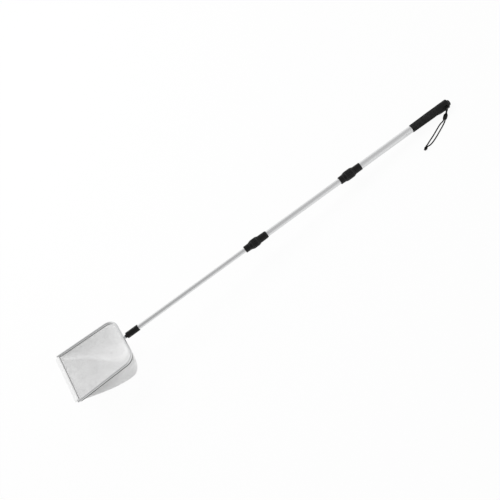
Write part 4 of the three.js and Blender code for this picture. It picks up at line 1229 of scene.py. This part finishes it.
for name, sizes in LOCKS.items():
    nut_start, nut_end, barrel_radius = span_of(f"{name}_lock_nut")
    _, body_end, _ = span_of(f"{name}_lock_body")
    passage = sizes["inner"] + RUN_GAP
    spigot = passage + SPIGOT_WALL
    spigot_start = nut_end - SPIGOT_LENGTH
    barrel_start = nut_start + sizes["nose"] + FRONT_FLARE
    barrel_end = barrel_start + sizes["barrel"]
    nut = turned_from(f"{name}_fluted_nut", [
        (nut_start, passage, 0.3),
        (nut_start + LOCK_LIP, passage),
        (nut_start + LOCK_LIP, passage + COLLET_TIP_WALL + FIT_GAP),
        (spigot_start, spigot + 2 * FIT_GAP),
        (nut_end, spigot + 2 * FIT_GAP, 0.2),
        (nut_end, sizes["body_radius"], 0.35),
        (barrel_end, barrel_radius, BACK_FLARE / 2),
        (barrel_start, barrel_radius, FRONT_FLARE / 2),
        (barrel_start - FRONT_FLARE, sizes["nose_radius"], FRONT_FLARE / 2),
        (nut_start, sizes["nose_radius"] - MOULD_DRAFT, RIM),
    ], 0.6, NUT_AROUND, flute_relief(barrel_start, barrel_end, barrel_radius))
    dress(nut, f"{name}_nut", "black_plastic", moulded_black, f"{name}_lock_nut")

    seat = nut_end + FIT_GAP + LOCK_SHOULDER
    bore = sizes["outer"] + FIT_GAP
    body = turned_from(f"{name}_lock_sleeve", [
        (spigot_start, passage, 0.2),
        (seat, passage),
        (seat, bore),
        (body_end, bore, 0.2),
        (body_end, bore + BODY_END_WALL, 0.3),
        (body_end - BODY_END_TAPER, sizes["body_radius"] - MOULD_DRAFT, BODY_END_TAPER / 2),
        (nut_end + FIT_GAP, sizes["body_radius"], 0.35),
        (nut_end + FIT_GAP, spigot),
        (spigot_start, spigot, 0.3),
    ], 1.0, 128)
    dress(body, sizes["rides"], "black_plastic", moulded_black, f"{name}_lock_body")
    print(f"{name} lock: nut {nut_end - nut_start:.1f} mm long, body to {body_end:.1f} mm")

# %% [markdown]
# ## Foam grip and slanted cap
# The grip is a tube of black foam rubber over the widest tube, and where it meets the hard cap both are cut
# on a slant. A round surface can take that cut without a Boolean: every point knows how far it is to the
# left, the slanted plane says where the joint is at that distance, and the point slides along the pole to
# suit.

# %% Foam finish
def foam_surface(nodes):
    """Closed-cell foam is made of tiny bubbles. Round cells and finer grains pit it, and slow noise mottles
    it where hands have pressed it and salt has dried."""
    cell_place = nodes.places("Object", (1100, 1100, 1100))
    cells = nodes.value(nodes.add("ShaderNodeTexVoronoi", {"feature": "F1"}, {
        "Vector": cell_place, "Scale": 1.0}))
    grains = nodes.noise((520, 900, 900), 3.0)
    mottle = nodes.noise((190, 260, 260), 4.0, roughness=0.7)
    shade = (mottle - 0.5) * 2.0 + 0.45 + 0.25 * grains
    return {
        "Base Color": nodes.mixed(shade.clipped(), 0.002, 0.044),
        "Specular IOR Level": 0.08,
        "Roughness": 0.78 + 0.15 * grains,
        "Normal": nodes.bumped(cells * 0.6 + grains * 0.6, 0.00016),
    }


# %% Foam grip
GRIP_FRONT_RADIUS = 11.0
GRIP_TAPER = 60.0
GRIP_ROUNDING = 1.6
GRIP_BORE = 9.8
CAP_SLANT = 36.0
CAP_SLANT_END = 15.2
cap_start, cap_end, _ = span_of("end_cap")


def joint_at(left):
    """Where the slanted joint is along the pole, in mm, by how far a point is to the left of it."""
    return cap_end - CAP_SLANT_END - (grip_radius - left) * CAP_SLANT / (2 * grip_radius)


def to_joint(outline, x, left):
    """Stretches the part past the taper so that the outline's end lands on the joint, less a gap."""
    taper_end = grip_start + GRIP_TAPER
    share = np.clip((x - taper_end) / (grip_sleeve_end - taper_end), 0, 1)
    return x + share * (joint_at(left) - FIT_GAP - grip_sleeve_end)


grip = turned_from("foam_grip", [
    (grip_start, GRIP_BORE, 0.2), (grip_sleeve_end, GRIP_BORE), (grip_sleeve_end, grip_radius, 0.25),
    (grip_start + GRIP_TAPER, grip_radius), (grip_start, GRIP_FRONT_RADIUS, GRIP_ROUNDING),
], 1.5, 128, None, to_joint)
dress(grip, "upper_section", "black_foam_rubber", finish("soft_foam", foam_surface), "grip_sleeve")

# %% [markdown]
# ## The cap and its eye
# The cap is one moulding: a slanted shell round the tube's end, a rounded shoulder, a narrower button set
# towards the keel, a plug inside the tube, and the keel with the cord's eye through it. All but the eye is
# a radius by angle and place. The keel's section is a rounded rectangle, and a high-power mean of its
# radius and the round body's joins them with a small fillet. The eye is the one hole, so it is cut with a
# Boolean, and the cutter widens at the keel's faces to round its edge.

# %% The keel and the button as radii
BUTTON_RADIUS = 7.6
BUTTON_LENGTH = 3.8
BUTTON_ASIDE = 1.8  # towards the keel
BUTTON_ROUNDING = 1.8
SHOULDER_ROUNDING = 4.4
KEEL_HEIGHT = 4.0
KEEL_HALF = 3.5
KEEL_RAMP = 13.0
KEEL_LEVELLING = 0.35
KEEL_PAST_EYE = 8.0
KEEL_SQUARE = 6.0
KEEL_FILLET = 18.0
RUB_BAND = 0.5
EYE_RADIUS = 2.3
EYE_FROM_END = 14.6
EYE_WALL = 1.9
tube_end = span_of("upper_tube")[1]
eye_x = cap_end - EYE_FROM_END
eye_left = EYE_WALL + EYE_RADIUS - KEEL_HEIGHT - grip_radius
button_start = cap_end - BUTTON_LENGTH
shoulder_start = button_start - SHOULDER_ROUNDING - 0.6


def button_relief(x, r, angle):
    """Past the shoulder's start, the radius of a circle set aside by a distance: the root of one less the
    distance times sin t, squared, less the distance times cos t. The shift fades out at the body's
    radius."""
    aside = BUTTON_ASIDE / BUTTON_RADIUS
    offset_circle = np.sqrt(1 - (aside * np.sin(angle)) ** 2) - aside * np.cos(angle)
    past_button = np.clip((r - BUTTON_RADIUS) / (grip_radius - BUTTON_RADIUS), 0, 1)
    moved = np.minimum(r, BUTTON_RADIUS) * offset_circle
    moved = moved + past_button * (grip_radius - BUTTON_RADIUS * offset_circle)
    return np.where(x > shoulder_start, moved, r)


def keel_relief(x, r, wear, angle):
    """How far the keel reaches is a slope, levelled off, that ends in a quarter circle. In section it is a
    rounded rectangle: one over the root of the summed powers of the cosine over the reach and the sine over
    the half thickness. The outer radius is the mean of body and keel to a high power."""
    r = button_relief(x, r, angle)
    short = (KEEL_HEIGHT - KEEL_HEIGHT * (x - cap_start) / KEEL_RAMP) / KEEL_LEVELLING
    level = KEEL_HEIGHT - KEEL_LEVELLING * np.log1p(np.exp(np.clip(short, -30, 30)))
    past = np.clip((x - (eye_x + KEEL_PAST_EYE - KEEL_HEIGHT)) / KEEL_HEIGHT, 0, 1)
    rise = np.clip(level, 0, None) * np.sqrt(1 - past**2)
    reach = grip_radius + rise
    across = np.abs(np.cos(angle)).clip(1e-6)
    plate = (across / reach) ** KEEL_SQUARE + (np.abs(np.sin(angle)) / KEEL_HALF) ** KEEL_SQUARE
    joined = (r**KEEL_FILLET + plate ** (-KEEL_FILLET / KEEL_SQUARE)) ** (1 / KEEL_FILLET)
    outer = (r > GRIP_BORE + 0.2) | (x > tube_end + 1)
    on_keel = outer & (np.cos(angle) < 0) & (rise > 0) & (r > 0.5 * grip_radius)
    rubbed = np.exp(-(((joined - reach) / RUB_BAND) ** 2)) * (rise > 0.5 * KEEL_HEIGHT)
    return np.where(on_keel, joined, r), np.maximum(wear, np.where(on_keel, rubbed, 0))


def from_joint(outline, x, left):
    """Slides the shell's points towards the slanted joint: all the way at the joint, and not at all at the
    shoulder or inside."""
    return joint_at(left) + outline[:, 3, None] * (x - joint_at(left))


# %% Hard cap
PLUG_LENGTH = 11.0
PLUG_RADIUS = 8.3
CAP_AROUND = 288
EYE_FLARE = 0.6
CUTTER_REACH = 12.0
end_outline = finer(rounded_outline([
    (cap_end, 0), (cap_end, BUTTON_RADIUS, BUTTON_ROUNDING), (button_start, BUTTON_RADIUS + 0.3, 0.5),
    (button_start - 0.4, grip_radius, SHOULDER_ROUNDING * 0.8), (shoulder_start, grip_radius),
], closed=False), 0.6)
bore_end = tube_end + FIT_GAP
plug_end = tube_end - PLUG_LENGTH
column = [(x, r, 0.6 * w, 1) for x, r, w in end_outline[:-1]]
column += [(shoulder_start, grip_radius, max(0, 1 - 30 * f), f) for f in np.linspace(1, 0, 70)[1:]]
column += [(bore_end, grip_radius + (GRIP_BORE - grip_radius) * t, 0, 0) for t in np.linspace(0.15, 1, 5)]
column += [(bore_end, GRIP_BORE, 0, f) for f in np.linspace(0, 1, 24)[1:]]
column += [(bore_end, r, 0, 1) for r in (9.2, 8.8, PLUG_RADIUS)]
column += [(x, PLUG_RADIUS, 0, 1) for x in np.linspace(bore_end, plug_end, 12)[1:]]
column += [(plug_end, r, 0, 1) for r in (7.0, 4.0, 0.0)]
cap = turned("eyed_cap", np.array(column, float), CAP_AROUND, keel_relief, from_joint)

flare = np.linspace(0, EYE_FLARE, 6)[1:]
below = [-CUTTER_REACH, -KEEL_HALF, *(flare - KEEL_HALF)]
cut_z = np.array([*below, *(-z for z in below[::-1])])
depth_in = np.clip((KEEL_HALF - np.abs(cut_z)) / EYE_FLARE, 0, 1)
cut_r = EYE_RADIUS + EYE_FLARE * (1 - np.sqrt(1 - (1 - depth_in) ** 2))
cut_r = np.array([0, *cut_r, 0])[:, None]
cut_z = np.array([-CUTTER_REACH, *cut_z, CUTTER_REACH])[:, None]
spin = np.linspace(0, 2 * math.pi, 64, endpoint=False)[None, :]
eye_cutter = grid_surface(
    "eye_cutter", in_scene(eye_x + cut_r * np.cos(spin), eye_left + cut_r * np.sin(spin), cut_z),
    np.zeros((len(cut_z), 65, 2)), wrap=(False, True),
)
cut(cap, eye_cutter)
dress(cap, "upper_section", "black_plastic", moulded_black, "end_cap")
print("cap faces:", len(cap.data.polygons))

# %% [markdown]
# ## The hidden pieces
# The insert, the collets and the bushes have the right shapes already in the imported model, so they stay as
# they are and get real finishes. Their meshes are loose triangles without a UV map, so these read Object
# coordinates, turned by the pole's lean.

# %% Brass and nylon
LEVELLED = (0, LEAN, 0)


def turned_brass(nodes):
    """Fine rings from the lathe: noise squeezed along the pole."""
    rings = nodes.noise((2500, 60, 60), turn=LEVELLED)
    return {
        "Base Color": nodes.mixed(rings, (0.62, 0.46, 0.20), (0.76, 0.60, 0.31)),
        "Metallic": 1.0,
        "Roughness": 0.26 + 0.2 * rings,
        "Normal": nodes.bumped(rings, 0.00001),
    }


def natural_nylon(nodes):
    """Milky and waxy, with cloudy flow marks and fine drag lines where it slides."""
    drag = nodes.noise((30, 1500, 1500), turn=LEVELLED)
    return {
        "Base Color": nodes.mixed(nodes.noise(140, 3.0), (0.70, 0.69, 0.64), (0.82, 0.81, 0.77)),
        "Roughness": 0.38 + 0.2 * drag,
        "Normal": nodes.bumped(drag, 0.00002),
    }


brass = finish("lathe_brass", turned_brass)
nylon = finish("milky_nylon", natural_nylon)
coat(frame["nodes"]["socket_insert"], brass)
for node in ("lower_bush", "middle_bush", "lower_lock_collet", "upper_lock_collet"):
    coat(frame["nodes"][node], nylon)
    print("kept:", node)

# %% [markdown]
# ## Cord and bag lengths, and the slider
# The cords' lengths and the bag's length are worked out, and the slider gets its finish.
# The loop is limp, shown from end to end, and ends in its knot.

for strand, path in strands.values():
    length_of(path)
dress(slider, "upper_section", "black_plastic", moulded_black, "cord_bead")
bag_length = float(distances(bag, 0)[-1].max() * MM)

# %% [markdown]
# ## Floor and light
# The photograph is a studio shot on pure white. The floor is seen as white where nothing shades it, and
# still takes the tool's soft shadow: the camera, mirrors and clear gaps see mostly its own white, and the
# rest of the light treats it as plain matt paint. The world is a large soft light. Bright tubes show what
# is around them, so the world is grey overhead, where a studio's ceiling is, and white near the horizon,
# where its sweep is.

# %% White floor
FLOOR_HALF = 6.0
FLOOR_SHOWN_WHITE = 0.94
FLOOR_PAINT = 0.93
MIRRORED_SHARE = 0.6  # bright metal shows the floor a little greyer
floor_corners = [(x * FLOOR_HALF, y * FLOOR_HALF, 0) for x, y in ((-1, -1), (1, -1), (1, 1), (-1, 1))]
floor_mesh = bpy.data.meshes.new("studio_floor")
floor_mesh.from_pydata(floor_corners, [], [(0, 1, 2, 3)])
floor = add_object("studio_floor", floor_mesh)
paint = bpy.data.materials.new("white_sweep")
paint.use_nodes = True
nodes = Nodes(paint.node_tree)
path_kind = nodes.add("ShaderNodeLightPath")
camera_ray, clear_ray, mirror_ray = (
    nodes.value(path_kind, f"Is {kind} Ray") for kind in ("Camera", "Transmission", "Glossy")
)
seen = camera_ray.reckon("MAXIMUM", clear_ray).reckon("MAXIMUM", mirror_ray * MIRRORED_SHARE)
matt = nodes.add("ShaderNodeBsdfDiffuse", {}, {"Color": colour(FLOOR_PAINT)})
own_white = nodes.add("ShaderNodeEmission", {}, {"Color": colour(1.0), "Strength": 1.0})
shown = nodes.add("ShaderNodeMixShader", {}, {
    0: seen * FLOOR_SHOWN_WHITE, 1: nodes.value(matt), 2: nodes.value(own_white)})
nodes.add("ShaderNodeOutputMaterial", {}, {"Surface": nodes.value(shown)})
floor.data.materials.append(paint)
print("floor:", 2 * FLOOR_HALF, "m square")

# %% Studio light
WORLD_LEVEL = 0.58
OVERHEAD_GREY = 0.45
NEAR_GRIP_GREY = 0.64
KEY_PLACE = (-0.7, 1.5, 2.0)
KEY_SIZE = 1.6
KEY_POWER = 31.0
world = bpy.data.worlds.new("studio")
bpy.context.scene.world = world
world.use_nodes = True
nodes = Nodes(world.node_tree)
direction = nodes.add("ShaderNodeTexCoord")
east, north, height = nodes.parts(nodes.value(direction, "Generated"))
path_kind = nodes.add("ShaderNodeLightPath")
high = (height * 0.83 - north * (0.45 - 1.3 * east)).above(0.42, 0.4)
overhead = nodes.mixed(east.above(0.06, 0.2), OVERHEAD_GREY, NEAR_GRIP_GREY)
mirrored = nodes.mixed(high, 1.0, overhead)
level = nodes.mixed(nodes.value(path_kind, "Is Glossy Ray"), WORLD_LEVEL, mirrored)
sky_colour = nodes.mixed(nodes.value(path_kind, "Is Camera Ray"), level, 1.0)
sky = nodes.add("ShaderNodeBackground", {}, {"Color": sky_colour, "Strength": 1.0})
nodes.add("ShaderNodeOutputWorld", {}, {"Surface": nodes.value(sky)})
lamp = bpy.data.lights.new("soft_key", "AREA")
lamp.shape = "SQUARE"
lamp.size = KEY_SIZE
lamp.energy = KEY_POWER
key = bpy.data.objects.new("soft_key", lamp)
facing = Vector(KEY_PLACE).to_track_quat("Z", "Y").to_matrix().to_4x4()
key.matrix_world = Matrix.Translation(KEY_PLACE) @ facing
bpy.context.scene.collection.objects.link(key)
key.visible_glossy = False
bpy.context.scene.view_settings.view_transform = "Standard"
print("key light at", KEY_PLACE)
